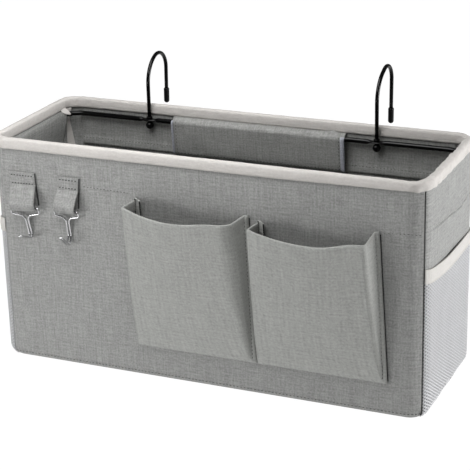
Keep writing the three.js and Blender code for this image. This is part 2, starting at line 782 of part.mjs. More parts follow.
// Mesh pocket on a side: net below, elastic band above, sewn in at both corner seams and the base
function addMeshPocket(side, stations) {
  const bulge = (t, z) => MESH_BULGE * Math.sin(Math.PI * t) ** 2 * smoothstep(z, BASE_RADIUS, BAND_REAR_HEIGHT);
  const bandTop = (t) => {
    if (t < 0.5) {
      return lerp(BAND_REAR_HEIGHT, BAND_MIDDLE_HEIGHT, t * 2);
    }
    return lerp(BAND_MIDDLE_HEIGHT, BAND_FRONT_HEIGHT, (t * 2 - 1) ** 2);
  };
  const along = stations.map((_, i) => {
    const t = i / (stations.length - 1);
    return side === 'left' ? t : 1 - t;
  });
  const grid = (extra, heights) => heights.map((height) => stations.map((station, i) => {
    const z = height(along[i]);
    return onWall(station, -SEAM_GAP - extra - bulge(along[i], z), z);
  }));
  const footRows = (extra) => {
    const rows = wallRows(-SEAM_GAP - extra, 0).slice(1);
    return rows.map((row) => stations.map((station) => onWall(station, row.inset, row.z)));
  };
  const netHeights = [];
  for (let j = 0; j < 5; j += 1) {
    netHeights.push((t) => lerp(bandTop(t) - BAND_WIDTH - SEAM_GAP, BASE_RADIUS + 6, j / 4));
  }
  const net = (extra) => [...grid(extra, netHeights), ...footRows(extra)];
  addMesh(organizer, `${side}_mesh_pocket`, thickSheet(net(MESH), net(0)), finish(NET, 0.8));
  const bandHeights = [(t) => bandTop(t), (t) => bandTop(t) - BAND_WIDTH / 2, (t) => bandTop(t) - BAND_WIDTH];
  addMesh(organizer, `${side}_pocket_band`, thickSheet(grid(MESH, bandHeights), grid(0, bandHeights)), finish(CREAM, 0.9));
}

// The side's outline with more steps along its flat stretch, where the net bulges
function meshStations(signX) {
  const flat = signX > 0
    ? flatStations(halfX, -halfY, halfX, halfY, 1, 0, 10)
    : flatStations(-halfX, halfY, -halfX, -halfY, -1, 0, 10);
  const first = signX > 0
    ? cornerStations(1, -1, seam - 90 + seamGapAngle, 0, 3)
    : cornerStations(-1, 1, 90 + seam + seamGapAngle, 180, 3);
  const last = signX > 0
    ? cornerStations(1, 1, 0, 90 - seam - seamGapAngle, 3)
    : cornerStations(-1, -1, 180, 270 - seam - seamGapAngle, 3);
  return [...first.slice(0, -1), ...flat, ...last.slice(1)];
}

// Strap: cloth folded round the wire hook's bar and sewn flat to the front at its top. Towards
// its end it leans sideways and its fold tilts, by the station's own amounts.
function addStrap({ side, centre, lean, tilt, strapWidth, strapLength }) {
  const loopZ = strapTop - strapLength + STRAP + STRAP_LOOP_RADIUS;
  const sewnLow = strapTop - STRAP_SEWN;
  const sewnFront = strapBack - 2 * STRAP;
  const inner = STRAP_LOOP_RADIUS;
  const outer = STRAP_LOOP_RADIUS + STRAP;
  const shape = new THREE.Shape();
  shape.moveTo(strapBack, strapTop);
  shape.lineTo(sewnFront, strapTop);
  shape.lineTo(sewnFront, sewnLow);
  shape.lineTo(strapLoopY - outer, loopZ + outer / 2);
  shape.lineTo(strapLoopY - outer, loopZ);
  shape.absarc(strapLoopY, loopZ, outer, Math.PI, 2 * Math.PI);
  shape.lineTo(strapBack, strapTop);
  const hole = new THREE.Path();
  hole.moveTo(strapBack - STRAP, sewnLow - STRAP);
  hole.lineTo(strapLoopY - inner, loopZ + outer / 2);
  hole.lineTo(strapLoopY - inner, loopZ);
  hole.absarc(strapLoopY, loopZ, inner, Math.PI, 2 * Math.PI);
  hole.lineTo(strapBack - STRAP, sewnLow - STRAP);
  shape.holes.push(hole);
  const geometry = new THREE.ExtrudeGeometry(shape, {
    depth: strapWidth,
    bevelEnabled: false,
    curveSegments: 6,
  });
  const swap = new THREE.Matrix4().makeBasis(vector(0, 1, 0), vector(0, 0, 1), vector(1, 0, 0));
  geometry.applyMatrix4(swap);
  geometry.translate(-strapWidth / 2, 0, 0);
  const places = geometry.attributes.position;
  for (let i = 0; i < places.count; i += 1) {
    const x = places.getX(i);
    const z = places.getZ(i);
    const along = (strapTop - z) / (strapLength - barAboveStrapEnd);
    places.setX(i, centre + x + lean * along);
    places.setZ(i, z + Math.tan(radians(tilt)) * x * along);
  }
  geometry.computeVertexNormals();
  addMesh(organizer, `${side}_strap`, geometry, finish(CANVAS, 0.92));
}

// Wire hook bent from one wire: a bar through the strap, a ring bend at each end, shoulders that
// run together into two shanks side by side, and a hook whose tip is the wire's own turn.
// The group's origin is the bar's axis. At rest the shanks lean back against the box's face.
function addWireHook({ side, centre, lean, tilt, strapWidth, strapLength, drop, kick, reach, rise }) {
  const hook = new THREE.Group();
  hook.position.set(centre + lean, strapLoopY, strapTop - strapLength + barAboveStrapEnd);
  const end = strapWidth / 2 + STRAP_TO_BAR_END;
  const shank = SMALL_SHANK_SPACING / 2;
  const heel = drop - kick * SMALL_FOOT_SLOPE;
  const half = [
    { at: vector(end, 0, 0), bend: SMALL_RING_BEND },
    { at: vector(end, 0, -SMALL_RING_DROP), bend: SMALL_RING_BEND },
    { at: vector(shank, 0, -SMALL_NECK_DROP), bend: SMALL_NECK_BEND },
    { at: vector(shank, 0, -heel), bend: SMALL_FOOT_BEND },
    { at: vector(shank, -kick, -drop), bend: SMALL_FOOT_BEND },
    { at: vector(shank, -reach, rise - drop), bend: shank * 0.96 },
  ];
  const mirrored = half.map(({ at, bend }) => ({ at: vector(-at.x, at.y, at.z), bend })).reverse();
  const path = bentPath([
    { at: vector(SMALL_BUTT_GAP / 2, 0, 0) },
    ...half,
    ...mirrored,
    { at: vector(-SMALL_BUTT_GAP / 2, 0, 0) },
  ], 4);
  const heelTurn = Math.atan2(1, SMALL_FOOT_SLOPE);
  const straight = heel - SMALL_FOOT_BEND * Math.tan(heelTurn / 2);
  const space = STRAP + STRAP_LOOP_RADIUS - SMALL_FOOT_BEND - SMALL_WIRE / 2;
  const back = Math.asin(space / Math.hypot(straight, SMALL_FOOT_BEND)) + Math.atan2(SMALL_FOOT_BEND, straight);
  hook.rotation.set(back, -radians(tilt), 0, 'YXZ');
  addMesh(hook, `${side}_wire_hook`, roundBar(path, SMALL_WIRE, SMALL_SIDES), finish(NICKEL, 0.25, 1));
  organizer.add(hook);
}

const rodPoints = rodPath();
addPanels();
addBoards();
addLining(rodPoints);
addFacing();
addRimTape();
addFrame(rodPoints);
addRailHook('left_rail_hook', -1, LEFT_HOOK);
addRailHook('right_rail_hook', 1, RIGHT_HOOK);
addPocket('left_pocket', LEFT_POCKET);
addPocket('right_pocket', RIGHT_POCKET);
addMeshPocket('left', meshStations(-1));
addMeshPocket('right', meshStations(1));
STATIONS.forEach(addStrap);
STATIONS.forEach(addWireHook);

export default organizer;
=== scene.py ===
"""Looks of a hanging bedside organizer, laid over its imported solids.

Lengths are in millimetres in the row frame, and become metres when a mesh is made. Distances along
the box's outline start at the middle of the front and run to the right, seen from the front.
"""

import logging
import math
from collections.abc import Callable, Sequence
from dataclasses import dataclass, field
from enum import Enum

import bmesh
import bpy
from mathutils import Matrix, Vector, noise


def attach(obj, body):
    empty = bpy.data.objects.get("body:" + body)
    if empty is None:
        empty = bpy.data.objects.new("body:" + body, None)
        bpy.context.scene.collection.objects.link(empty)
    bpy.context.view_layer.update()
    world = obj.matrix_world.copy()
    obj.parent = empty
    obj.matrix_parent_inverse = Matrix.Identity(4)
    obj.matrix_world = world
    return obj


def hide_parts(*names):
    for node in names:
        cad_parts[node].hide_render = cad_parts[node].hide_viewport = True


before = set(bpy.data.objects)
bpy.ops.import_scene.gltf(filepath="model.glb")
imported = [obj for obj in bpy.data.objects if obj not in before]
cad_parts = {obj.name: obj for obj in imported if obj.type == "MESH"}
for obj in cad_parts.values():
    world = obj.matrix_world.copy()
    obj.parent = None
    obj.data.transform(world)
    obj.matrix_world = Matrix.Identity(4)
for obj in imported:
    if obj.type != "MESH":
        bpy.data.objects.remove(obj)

MM = 0.001
CLOTH_MAP = "Cloth"
NARROWEST_SHEET = 10.0
SAME_PLACE = 0.001
TUBE_MAP = (10.0, 10.0)
ROD_HEIGHT = 191.5
ROD_BACK = 61.95
PAD_CENTRES = (-107.0, 110.0)
PAD_THICKNESS = 2.6
FORWARD = Vector((0, -1, 0))
UPWARD = Vector((0, 0, 1))
LOG = logging.getLogger("organizer")
Colour = tuple[float, float, float]
Place = Callable[[float, float], Vector]
Stitch = tuple[Vector, Vector, Vector]
Run = Callable[[float], Stitch]
Corners = list[tuple[Vector, float]]
Sockets = dict[str | int, object]
Material = bpy.types.Material
Piece = bpy.types.Object
Mesh = bmesh.types.BMesh


class Body(Enum):
    """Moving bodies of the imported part."""

    BAG = "bag"
    LEFT_CROOK = "left_crook"
    RIGHT_CROOK = "right_crook"
    LEFT_KEY_HOOK = "left_key_hook"
    RIGHT_KEY_HOOK = "right_key_hook"


class Slot(Enum):
    """Material slots."""

    CANVAS = "canvas"
    LINING = "lining"
    TAPE = "tape"
    NET = "net"
    BOARD = "board"
    ROD = "rod"
    CAP = "cap"
    WIRE = "wire"


class Held(Enum):
    """How a piece of cloth is held."""

    STRETCHED = "stretched"
    GATHERED = "gathered"
    FOLDED = "folded"
    LAID = "laid"


def lerp(low: float, high: float, share: float) -> float:
    """Return the value at a share of the way from low to high."""
    return low + (high - low) * share


def ease(value: float, low: float, high: float) -> float:
    """Return 0 below low, 1 above high and a smooth rise between them."""
    share = min(1.0, max(0.0, (value - low) / (high - low)))
    return share * share * (3 - 2 * share)


def dent(value: float, width: float) -> float:
    """Return 1 at 0, and less and less to both sides over a width."""
    return math.exp(-((value / width) ** 2))


def waves(x: float, y: float, seed: float) -> float:
    """Return smooth noise about 0, the same at each run."""
    return noise.noise(Vector((x, y, seed)))


# Shaders


class Signal:
    """A socket of a node tree, on which sums read as plain arithmetic."""

    def __init__(self, graph: "Graph", socket: bpy.types.NodeSocket) -> None:
        """Keep the socket and the graph that it belongs to."""
        self.graph = graph
        self.socket = socket

    def maths(self, operation: str, *values: "Signal | float") -> "Signal":
        """Return the outcome of one Math node.

        Args:
            operation: Name of the Math node's operation.
            values: Its inputs in order.

        Returns:
            The node's output.
        """
        return self.graph.add("ShaderNodeMath", {"operation": operation}, dict(enumerate(values)))

    def __add__(self, other: "Signal | float") -> "Signal":
        """Return the sum."""
        return self.maths("ADD", self, other)

    __radd__ = __add__

    def __sub__(self, other: "Signal | float") -> "Signal":
        """Return the difference."""
        return self.maths("SUBTRACT", self, other)

    def __rsub__(self, other: float) -> "Signal":
        """Return the difference from a number."""
        return self.maths("SUBTRACT", other, self)

    def __mul__(self, other: "Signal | float") -> "Signal":
        """Return the product."""
        return self.maths("MULTIPLY", self, other)

    __rmul__ = __mul__

    def __abs__(self) -> "Signal":
        """Return the absolute value."""
        return self.maths("ABSOLUTE", self)

    def sine(self) -> "Signal":
        """Return the sine."""
        return self.maths("SINE", self)

    def rise(self, low: float, high: float) -> "Signal":
        """Return 0 below low, 1 above high and a smooth rise between them."""
        return self.graph.add(
            "ShaderNodeMapRange",
            {"interpolation_type": "SMOOTHSTEP"},
            {"Value": self, "From Min": low, "From Max": high},
        )


class Graph:
    """Builds a node tree."""

    def __init__(self, tree: bpy.types.NodeTree) -> None:
        """Start from an empty tree."""
        self.tree = tree
        tree.nodes.clear()

    def add(
        self, kind: str, settings: Sockets | None = None, inputs: Sockets | None = None, output: str | int = 0
    ) -> Signal:
        """Add one node.

        Args:
            kind: The node's type.
            settings: Its own settings, which are set first.
            inputs: Values or signals for its sockets, by name or place.
            output: The socket that is given back.

        Returns:
            That output, or the node's first input where it has no output.
        """
        node = self.tree.nodes.new(kind)
        for key, value in (settings or {}).items():
            setattr(node, key, value)
        for key, value in (inputs or {}).items():
            if isinstance(value, Signal):
                self.tree.links.new(value.socket, node.inputs[key])
            else:
                node.inputs[key].default_value = value
        return Signal(self, node.outputs[output] if node.outputs else node.inputs[0])

    def tint(self, colour: Colour, amount: Signal) -> Signal:
        """Return the colour made lighter or darker by a signal."""
        return self.add("ShaderNodeVectorMath", {"operation": "SCALE"}, {0: colour, "Scale": amount})

    def noise(self, place: Signal, across: float, along: float, detail: float = 2.0) -> Signal:
        """Return noise from 0 to 1 with its own grain size in two directions.

        Args:
            place: Coordinates in millimetres.
            across: Size of the grain along the first axis.
            along: Size of the grain along the second axis.
            detail: Number of finer layers.

        Returns:
            The noise.
        """
        size = (1 / across, 1 / along, 1 / across)
        scaled = self.add("ShaderNodeVectorMath", {"operation": "MULTIPLY"}, {0: place, 1: size})
        return self.add("ShaderNodeTexNoise", {}, {"Vector": scaled, "Scale": 1.0, "Detail": detail})

    def bump(self, height: Signal, strength: float, distance: float) -> Signal:
        """Return the normal that a height in shares of distance gives."""
        return self.add(
            "ShaderNodeBump", {}, {"Strength": strength, "Distance": distance * MM, "Height": height}
        )

    def cloth_place(self) -> tuple[Signal, Signal, Signal]:
        """Return the place on the flat cloth in millimetres, and its parts along and up the cloth."""
        flat = self.add("ShaderNodeUVMap", {"uv_map": CLOTH_MAP})
        along = self.add("ShaderNodeSeparateXYZ", {}, {0: flat})
        return flat, along, Signal(self, along.socket.node.outputs[1])

    def seen(self) -> Signal:
        """Return 1 for rays that come straight from the camera."""
        return self.add("ShaderNodeLightPath", output="Is Camera Ray")

    def body_place(self) -> Signal:
        """Return the place on the object in millimetres."""
        metres = self.add("ShaderNodeTexCoord", {}, {}, "Object")
        return self.add("ShaderNodeVectorMath", {"operation": "SCALE"}, {0: metres, "Scale": 1 / MM})


def new_graph(name: str) -> tuple[Material, Graph]:
    """Return a new material and the graph of its nodes."""
    material = bpy.data.materials.new(name)
    material.use_nodes = True
    return material, Graph(material.node_tree)


@dataclass(frozen=True)
class Finish:
    """A finish with its name and main colour."""

    name: str
    colour: Colour

    def sockets(self, graph: Graph) -> Sockets:
        """Return what the sockets of the finish's shader are given."""
        raise NotImplementedError

    def material(self) -> Material:
        """Return the finish's material."""
        material, graph = new_graph(self.name)
        shader = graph.add("ShaderNodeBsdfPrincipled", {}, self.sockets(graph))
        graph.add("ShaderNodeOutputMaterial", {}, {"Surface": shader})
        return material


@dataclass(frozen=True)
class WovenCloth(Finish):
    """Plain woven cloth with thick and thin threads, laid out by the cloth's own map."""

    pitch: float = 0.62
    slub: float = 0.58
    fleck: float = 0.85
    roughness: float = 0.88
    relief: float = 0.3

    def sockets(self, graph: Graph) -> Sockets:
        """Return the threads' shade, dullness and relief."""
        flat, across, up = graph.cloth_place()
        turn = math.pi / self.pitch
        weave = (across * turn).sine() * (up * turn).sine()
        stood = graph.noise(flat, 1.5, 24.0)
        lying = graph.noise(flat, 15.0, 1.4)
        fine = graph.noise(flat, 1.5, 1.7, 3.0)
        broad = graph.noise(flat, 45.0, 60.0, 1.0)
        # The weave term lightens the threads' crests, painted shade between them. The slub, fleck and broad
        # noise is the yarn's own uneven tone.
        shade = (
            1.0
            + (stood - 0.5) * self.slub
            + (lying - 0.5) * self.slub
            + (fine - 0.5) * self.fleck
            + (broad - 0.5) * 0.06
            + weave * 0.04
        )
        height = weave * 0.5 + stood * 0.7 + lying * 0.7 + fine * 0.3
        return {
            "Base Color": graph.tint(self.colour, shade),
            "Roughness": self.roughness - (stood + lying) * 0.04,
            "Specular IOR Level": 0.25,
            "Sheen Weight": 0.12,
            "Sheen Roughness": 0.5,
            "Normal": graph.bump(height, 0.8, self.relief),
        }


@dataclass(frozen=True)
class BindingTape(Finish):
    """Cream tape with fine ribs across it, and painted shade in the hollows of its crumpled relief."""

    rib: float = 1.1
    roughness: float = 0.85

    def sockets(self, graph: Graph) -> Sockets:
        """Return the ribs' shade, dullness and relief."""
        flat, along, across = graph.cloth_place()
        turn = 2 * math.pi / self.rib
        ribs = (along * turn).sine() * (across * turn).sine()
        crumple = graph.noise(flat, 7.0, 4.0, 3.0)
        mottle = graph.noise(flat, 2.2, 1.4, 3.0)
        # The crumple and rib terms darken the tape where its relief sinks: painted shade in the hollows. The
        # mottle is the tape's own uneven tone.
        shade = 0.99 + (crumple - 0.5) * 0.16 + (mottle - 0.5) * 0.2 + ribs * 0.02
        return {
            "Base Color": graph.tint(self.colour, shade),
            "Roughness": self.roughness + (mottle - 0.5) * 0.1,
            "Specular IOR Level": 0.3,
            "Sheen Weight": 0.1,
            "Normal": graph.bump(ribs * 0.2 + crumple * 2.2 + mottle * 0.5, 0.7, 0.35),
        }


@dataclass(frozen=True)
class KnittedNet(Finish):
    """Knitted net with diamond eyes, open where an eye is."""

    eye_width: float = 4.6
    eye_height: float = 2.9

    def sockets(self, graph: Graph) -> Sockets:
        """Return the strands' shade, dullness and relief, with nothing in the eyes."""
        flat, along, up = graph.cloth_place()
        right = along * (math.pi / self.eye_width) + up * (math.pi / self.eye_height)
        left = along * (math.pi / self.eye_width) - up * (math.pi / self.eye_height)
        eye = abs(right.sine() * left.sine())
        worn = graph.noise(flat, 14.0, 20.0)
        # The strands darken towards the eyes, painted shade where they round off.
        return {
            "Base Color": graph.tint(self.colour, 1.06 - eye * 0.42 + (worn - 0.5) * 0.1),
            "Roughness": 0.7 + (worn - 0.5) * 0.1,
            "Alpha": 1.0 - eye.rise(0.5, 0.66),
            "Specular IOR Level": 0.35,
            "Normal": graph.bump(1.0 - eye, 0.8, 0.35),
        }


@dataclass(frozen=True)
class Enamel(Finish):
    """Black enamel or rubber on rods and caps, with faint orange peel and rubbed places."""

    roughness: float
    coat: float
    grain: float = 0.05

    def sockets(self, graph: Graph) -> Sockets:
        """Return the coating's shade, gloss and peel."""
        place = graph.body_place()
        peel = graph.noise(place, 1.4, 1.4)
        rubbed = graph.noise(place, 16.0, 16.0, 3.0)
        return {
            "Base Color": graph.tint(self.colour, 0.9 + rubbed * 0.3),
            "Roughness": self.roughness + (rubbed - 0.5) * 0.1,
            "Specular IOR Level": 0.12,
            "Coat Weight": self.coat,
            "Coat Roughness": 0.1,
            "Normal": graph.bump(peel, 0.5, self.grain),
        }


@dataclass(frozen=True)
class PlatedWire(Finish):
    """Bright nickel plating with drawn scratches and slightly dull places."""

    roughness: float = 0.22

    def sockets(self, graph: Graph) -> Sockets:
        """Return the plating's shade, gloss and scratches."""
        place = graph.body_place()
        dull = graph.noise(place, 6.0, 6.0, 3.0)
        drawn = graph.noise(place, 0.3, 2.4)
        return {
            "Base Color": graph.tint(self.colour, 0.92 + dull * 0.14),
            "Metallic": 1.0,
            "Roughness": self.roughness + (dull - 0.5) * 0.14 + (drawn - 0.5) * 0.06,
            "Normal": graph.bump(drawn, 0.3, 0.03),
        }


@dataclass(frozen=True)
class BoardStock(Finish):
    """Plain pressed board inside the walls."""

    def sockets(self, graph: Graph) -> Sockets:
        """Return the fibres' shade, dullness and relief."""
        fibre = graph.noise(graph.body_place(), 0.8, 5.0, 4.0)
        return {
            "Base Color": graph.tint(self.colour, 0.92 + fibre * 0.16),
            "Roughness": 0.75 + (fibre - 0.5) * 0.2,
            "Normal": graph.bump(fibre, 0.4, 0.1),
        }


@dataclass(frozen=True)
class Finishes:
    """Every finish of the organizer, made once."""

    canvas: Material
    pocket: Material
    lining: Material
    tape: Material
    band: Material
    net: Material
    board: Material
    rod: Material
    cap: Material
    wire: Material
    shadow_dark_thread: Material
    cream_thread: Material
    painted_lit_edge: Material


def mixed_finishes() -> Finishes:
    """Return the finishes in the photograph's colours."""
    return Finishes(
        canvas=WovenCloth("slub_canvas", (0.311, 0.313, 0.305)).material(),
        pocket=WovenCloth("pocket_canvas", (0.368, 0.373, 0.357), slub=0.4, fleck=0.65).material(),
        lining=WovenCloth("lining_cloth", (0.27, 0.272, 0.262), slub=0.6, fleck=0.9).material(),
        tape=BindingTape("cream_tape", (0.57, 0.546, 0.522)).material(),
        band=BindingTape("cream_elastic", (0.54, 0.526, 0.502), rib=1.6).material(),
        net=KnittedNet("knitted_net", (0.56, 0.563, 0.577)).material(),
        board=BoardStock("pressed_board", (0.62, 0.58, 0.50)).material(),
        rod=Enamel("black_enamel", (0.001, 0.001, 0.0011), 0.16, 0.18).material(),
        cap=Enamel("black_rubber", (0.003, 0.003, 0.0033), 0.42, 0.0, 0.08).material(),
        wire=PlatedWire("nickel_plate", (0.62, 0.62, 0.63)).material(),
        # The dark thread is far darker than the real thread, which matches the cloth: painted shadow round
        # the sunk stitches, and in the cords that stand in for shade in seam gaps and beside edges.
        shadow_dark_thread=WovenCloth("shadow_dark_thread", (0.035, 0.036, 0.034), pitch=0.4).material(),
        # The cream thread is a little darker than the tape, painted shade where its stitches sink.
        cream_thread=WovenCloth("cream_thread", (0.52, 0.50, 0.46), pitch=0.4).material(),
        # The pale edge cloth is a painted highlight where the sleeve's ends catch the light.
        painted_lit_edge=WovenCloth("painted_lit_edge", (0.36, 0.37, 0.42), pitch=0.5).material(),
    )


# Form of the box, which every sewn piece follows


@dataclass(frozen=True)
class BoxForm:
    """Plan and profile of the box."""

    width: float = 390.0
    depth: float = 140.0
    height: float = 205.0
    corner_radius: float = 16.0
    base_radius: float = 10.0
    corner_seam: float = 53.0
    left_seam: float = 20.0
    base_seam: float = 45.0
    cloth_top: float = 203.4

    @property
    def half_x(self) -> float:
        """Half the flat run of the front."""
        return self.width / 2 - self.corner_radius

    @property
    def half_y(self) -> float:
        """Half the flat run of a side."""
        return self.depth / 2 - self.corner_radius

    @property
    def front(self) -> float:
        """The front face's place in depth."""
        return -self.depth / 2

    @property
    def girth(self) -> float:
        """Distance round the outline."""
        return 4 * (self.half_x + self.half_y) + 2 * math.pi * self.corner_radius

    def station(self, distance: float) -> tuple[Vector, Vector]:
        """Find a place on the outline.

        Args:
            distance: Distance along the outline from the middle of the front.

        Returns:
            The nearest point on the rectangle through the corner centres, and the outward direction.
        """
        left = (distance + self.half_x) % self.girth
        signs = ((-1, -1), (1, -1), (1, 1), (-1, 1))
        centres = [Vector((x * self.half_x, y * self.half_y, 0)) for x, y in signs]
        arc = math.pi / 2 * self.corner_radius
        for side in range(4):
            here = centres[side]
            there = centres[(side + 1) % 4]
            run = (there - here).length
            facing = math.radians(90 * side - 90)
            if left <= run:
                out = Vector((math.cos(facing), math.sin(facing), 0))
                return here.lerp(there, left / run), out
            left -= run
            if left <= arc:
                angle = facing + left / self.corner_radius
                return there, Vector((math.cos(angle), math.sin(angle), 0))
            left -= arc
        return centres[0], Vector((0, -1, 0))

    def point(self, distance: float, inset: float, z: float) -> Vector:
        """Return the point at an inset from the outer face and a height."""
        base, out = self.station(distance)
        place = base + out * (self.corner_radius - inset)
        place.z = z
        return place

    def corner(self, number: int, degrees: float) -> float:
        """Return the distance at which a corner, counted from the front right one, has turned so far."""
        runs = [2 * self.half_x, 2 * self.half_y]
        before = sum(runs[k % 2] for k in range(number)) + (number - 1) * math.pi / 2 * self.corner_radius
        return before - self.half_x + math.radians(degrees) * self.corner_radius

    @property
    def seams(self) -> tuple[float, float, float, float]:
        """Places of the upright seams on the outline: front right, rear right, rear left, front left."""
        turn = self.corner_seam
        front_left = self.corner(4, 90 - self.left_seam)
        return self.corner(1, turn), self.corner(2, 90 - turn), self.corner(3, turn), front_left

    def plan_point(self, distance: float, inset: float, share: float) -> Vector:
        """Return a point of the box's plan, from its middle line at a share of 0 to the outline at 1."""
        base, out = self.station(distance)
        edge = base + out * (self.corner_radius - inset)
        middle = Vector((edge.x * (self.half_x - self.half_y) / self.half_x, 0, 0))
        return middle.lerp(edge, share)

    def wall_length(self, inset: float) -> float:
        """Return the length of a wall's profile from its base seam to its top."""
        bend = math.radians(self.base_seam) * (self.base_radius - inset)
        return bend + self.cloth_top - self.base_radius

    def profile(self, along: float, inset: float) -> tuple[float, float]:
        """Follow a wall up from its base seam.

        Args:
            along: Length from the base seam.
            inset: The wall's inset from the outer face.

        Returns:
            The inset and the height there.
        """
        radius = self.base_radius - inset
        bend = math.radians(self.base_seam) * radius
        if along >= bend:
            return inset, self.base_radius + along - bend
        angle = (bend - along) / radius
        return self.base_radius - radius * math.cos(angle), self.base_radius - radius * math.sin(angle)


BOX = BoxForm()


# Meshes


def laid_grid(columns: int, rows: int, place: Place, cut: tuple[float, float], joined: bool = False) -> Mesh:
    """Lay a flat grid of cloth over a form.

    Args:
        columns: Faces along the cloth.
        rows: Faces up the cloth.
        place: Gives a point of the form for the shares along and up the cloth.
        cut: Width and height of the flat cloth.
        joined: Whether its ends meet.

    Returns:
        The mesh, with the flat cloth's millimetres as its map.
    """
    bm = bmesh.new()
    layer = bm.loops.layers.uv.new(CLOTH_MAP)
    bmesh.ops.create_grid(bm, x_segments=columns, y_segments=rows, size=0.5)
    for face in bm.faces:
        face.smooth = True
        for loop in face.loops:
            flat = loop.vert.co
            loop[layer].uv = ((flat.x + 0.5) * cut[0], (flat.y + 0.5) * cut[1])
    for vertex in bm.verts:
        vertex.co = place(vertex.co.x + 0.5, vertex.co.y + 0.5)
    if joined:
        bmesh.ops.remove_doubles(bm, verts=bm.verts, dist=SAME_PLACE)
    return bm


def linked(name: str, data: bpy.types.ID) -> Piece:
    """Return a new object of the scene that holds a mesh, a lamp or a camera."""
    made = bpy.data.objects.new(name, data)
    bpy.context.scene.collection.objects.link(made)
    return made


def mesh_object(bm: Mesh, name: str) -> Piece:
    """Return a new object with this mesh, which is freed."""
    mesh = bpy.data.meshes.new(name)
    bm.to_mesh(mesh)
    bm.free()
    return linked(name, mesh)


def piece_of(
    bm: Mesh, name: str, material: Material, slot: Slot, body: Body = Body.BAG, node: str | None = None
) -> Piece:
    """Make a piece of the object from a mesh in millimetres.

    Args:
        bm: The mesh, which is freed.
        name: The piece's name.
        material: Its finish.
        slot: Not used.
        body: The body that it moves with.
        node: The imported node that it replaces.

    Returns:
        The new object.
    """
    bmesh.ops.scale(bm, vec=(MM, MM, MM), verts=bm.verts)
    piece = mesh_object(bm, f"{name}_dressed" if name == node else name)
    piece.data.materials.append(material)
    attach(piece, body.value)
    if node:
        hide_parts(node)
    LOG.info("%s: %d faces", name, len(piece.data.polygons))
    return piece


@dataclass
class Cloth:
    """A cut of cloth laid over a form and given its thickness."""

    name: str
    width: float
    length: float
    place: Place
    material: Material
    slot: Slot
    thickness: float = 0.6
    step: float = 2.0
    faces: tuple[int, int] | None = None
    offset: float = -1.0
    joined: bool = False
    by_plan: bool = False
    packed: bool = True
    held: Held = Held.STRETCHED
    rests_on: tuple[str, ...] = ()
    edging: tuple[Piece, ...] = ()

    def lay(self) -> Piece:
        """Return the finished piece."""
        cut = (self.width, self.length)
        columns, rows = self.faces or (max(2, round(size / self.step)) for size in cut)
        bm = laid_grid(columns, rows, self.place, cut, self.joined)
        if self.by_plan:
            self.map_by_plan(bm)
        piece = piece_of(bm, self.name, self.material, self.slot, node=self.name if self.packed else None)
        wall = piece.modifiers.new("thickness", "SOLIDIFY")
        wall.thickness = self.thickness * MM
        wall.offset = self.offset
        if min(cut) >= NARROWEST_SHEET:
            self.width * MM
            list(self.rests_on)
            list(self.edging)
        return piece

    def map_by_plan(self, bm: Mesh) -> None:
        """Map a floor from above, so that its weave runs straight, and turn its seen face out."""
        layer = bm.loops.layers.uv.verify()
        for face in bm.faces:
            for loop in face.loops:
                loop[layer].uv = loop.vert.co.xy
        bmesh.ops.recalc_face_normals(bm, faces=bm.faces)


@dataclass
class Stitching:
    """Rows of stitches, each stitch a short thread that dips into the cloth at both ends."""

    name: str
    material: Material
    slot: Slot
    pitch: float = 3.2
    length: float = 1.9
    thickness: float = 0.6
    flatness: float = 0.8
    proud: float = 0.25
    mesh: Mesh = field(default_factory=bmesh.new)

    def row(self, run: Run, start: float, end: float) -> None:
        """Sew one row.

        Args:
            run: Gives the point, the direction of sewing and the cloth's outward direction.
            start: Where the row starts, in millimetres along the run.
            end: Where it ends.
        """
        count = max(1, round(abs(end - start) / self.pitch))
        for number in range(count):
            at, along, out = run(lerp(start, end, (number + 0.5) / count))
            along = along.normalized()
            out = (out - along * out.dot(along)).normalized()
            across = out.cross(along)
            half = self.thickness / 2
            axes = (across * half, out * half * self.flatness, along * self.length / 2)
            turned = Matrix([axis.to_tuple() for axis in axes]).transposed().to_4x4()
            turned.translation = at + out * half * self.proud
            bmesh.ops.create_uvsphere(self.mesh, u_segments=6, v_segments=4, radius=1.0, matrix=turned)

    def straight(self, start: Vector, end: Vector) -> None:
        """Sew a straight row between two points of cloth that faces forward."""
        along = end - start
        self.row(lambda distance: (start + along.normalized() * distance, along, FORWARD), 0, along.length)

    def finish(self) -> Piece:
        """Return all rows as one piece."""
        for face in self.mesh.faces:
            face.smooth = True
        self.mesh.loops.layers.uv.new(CLOTH_MAP)
        return piece_of(self.mesh, self.name, self.material, self.slot)


def outline_run(inset: float, height: Callable[[float], float], outward: float = 1.0) -> Run:
    """Return a run along the box's outline.

    Args:
        inset: Inset from the outer face.
        height: Height at a distance along the outline.
        outward: 1 on an outer face, and -1 on an inner one.

    Returns:
        The run.
    """

    def run(distance: float) -> Stitch:
        """Return the place on the outline."""
        here = BOX.point(distance, inset, height(distance))
        ahead = BOX.point(distance + 1.0, inset, height(distance + 1.0))
        return here, ahead - here, BOX.station(distance)[1] * outward

    return run


def both_sides(half: Corners) -> Corners:
    """Return the corners of half a bent wire, and in reverse their mirror images across x."""
    return [*half, *((Vector((-at.x, at.y, at.z)), bend) for at, bend in reversed(half))]


def bent_path(corners: Corners, steps: int) -> list[Vector]:
    """Return the points of a bent wire.

    Args:
        corners: Each corner's place and the radius of the bend there.
        steps: Points in each bend.

    Returns:
        Straight runs between the corners and a true arc at each bend.
    """
    points = [corners[0][0].copy()]
    for (before, _), (at, bend), (after, _) in zip(corners, corners[1:], corners[2:]):
        arriving = (at - before).normalized()
        leaving = (after - at).normalized()
        turn = arriving.angle(leaving)
        start = at - arriving * bend * math.tan(turn / 2)
        centre = at + (leaving - arriving).normalized() * bend / math.cos(turn / 2)
        axis = arriving.cross(leaving).normalized()
        for step in range(steps + 1):
            spoke = Matrix.Rotation(turn * step / steps, 3, axis) @ (start - centre)
            points.append(centre + spoke)
    points.append(corners[-1][0].copy())
    return points


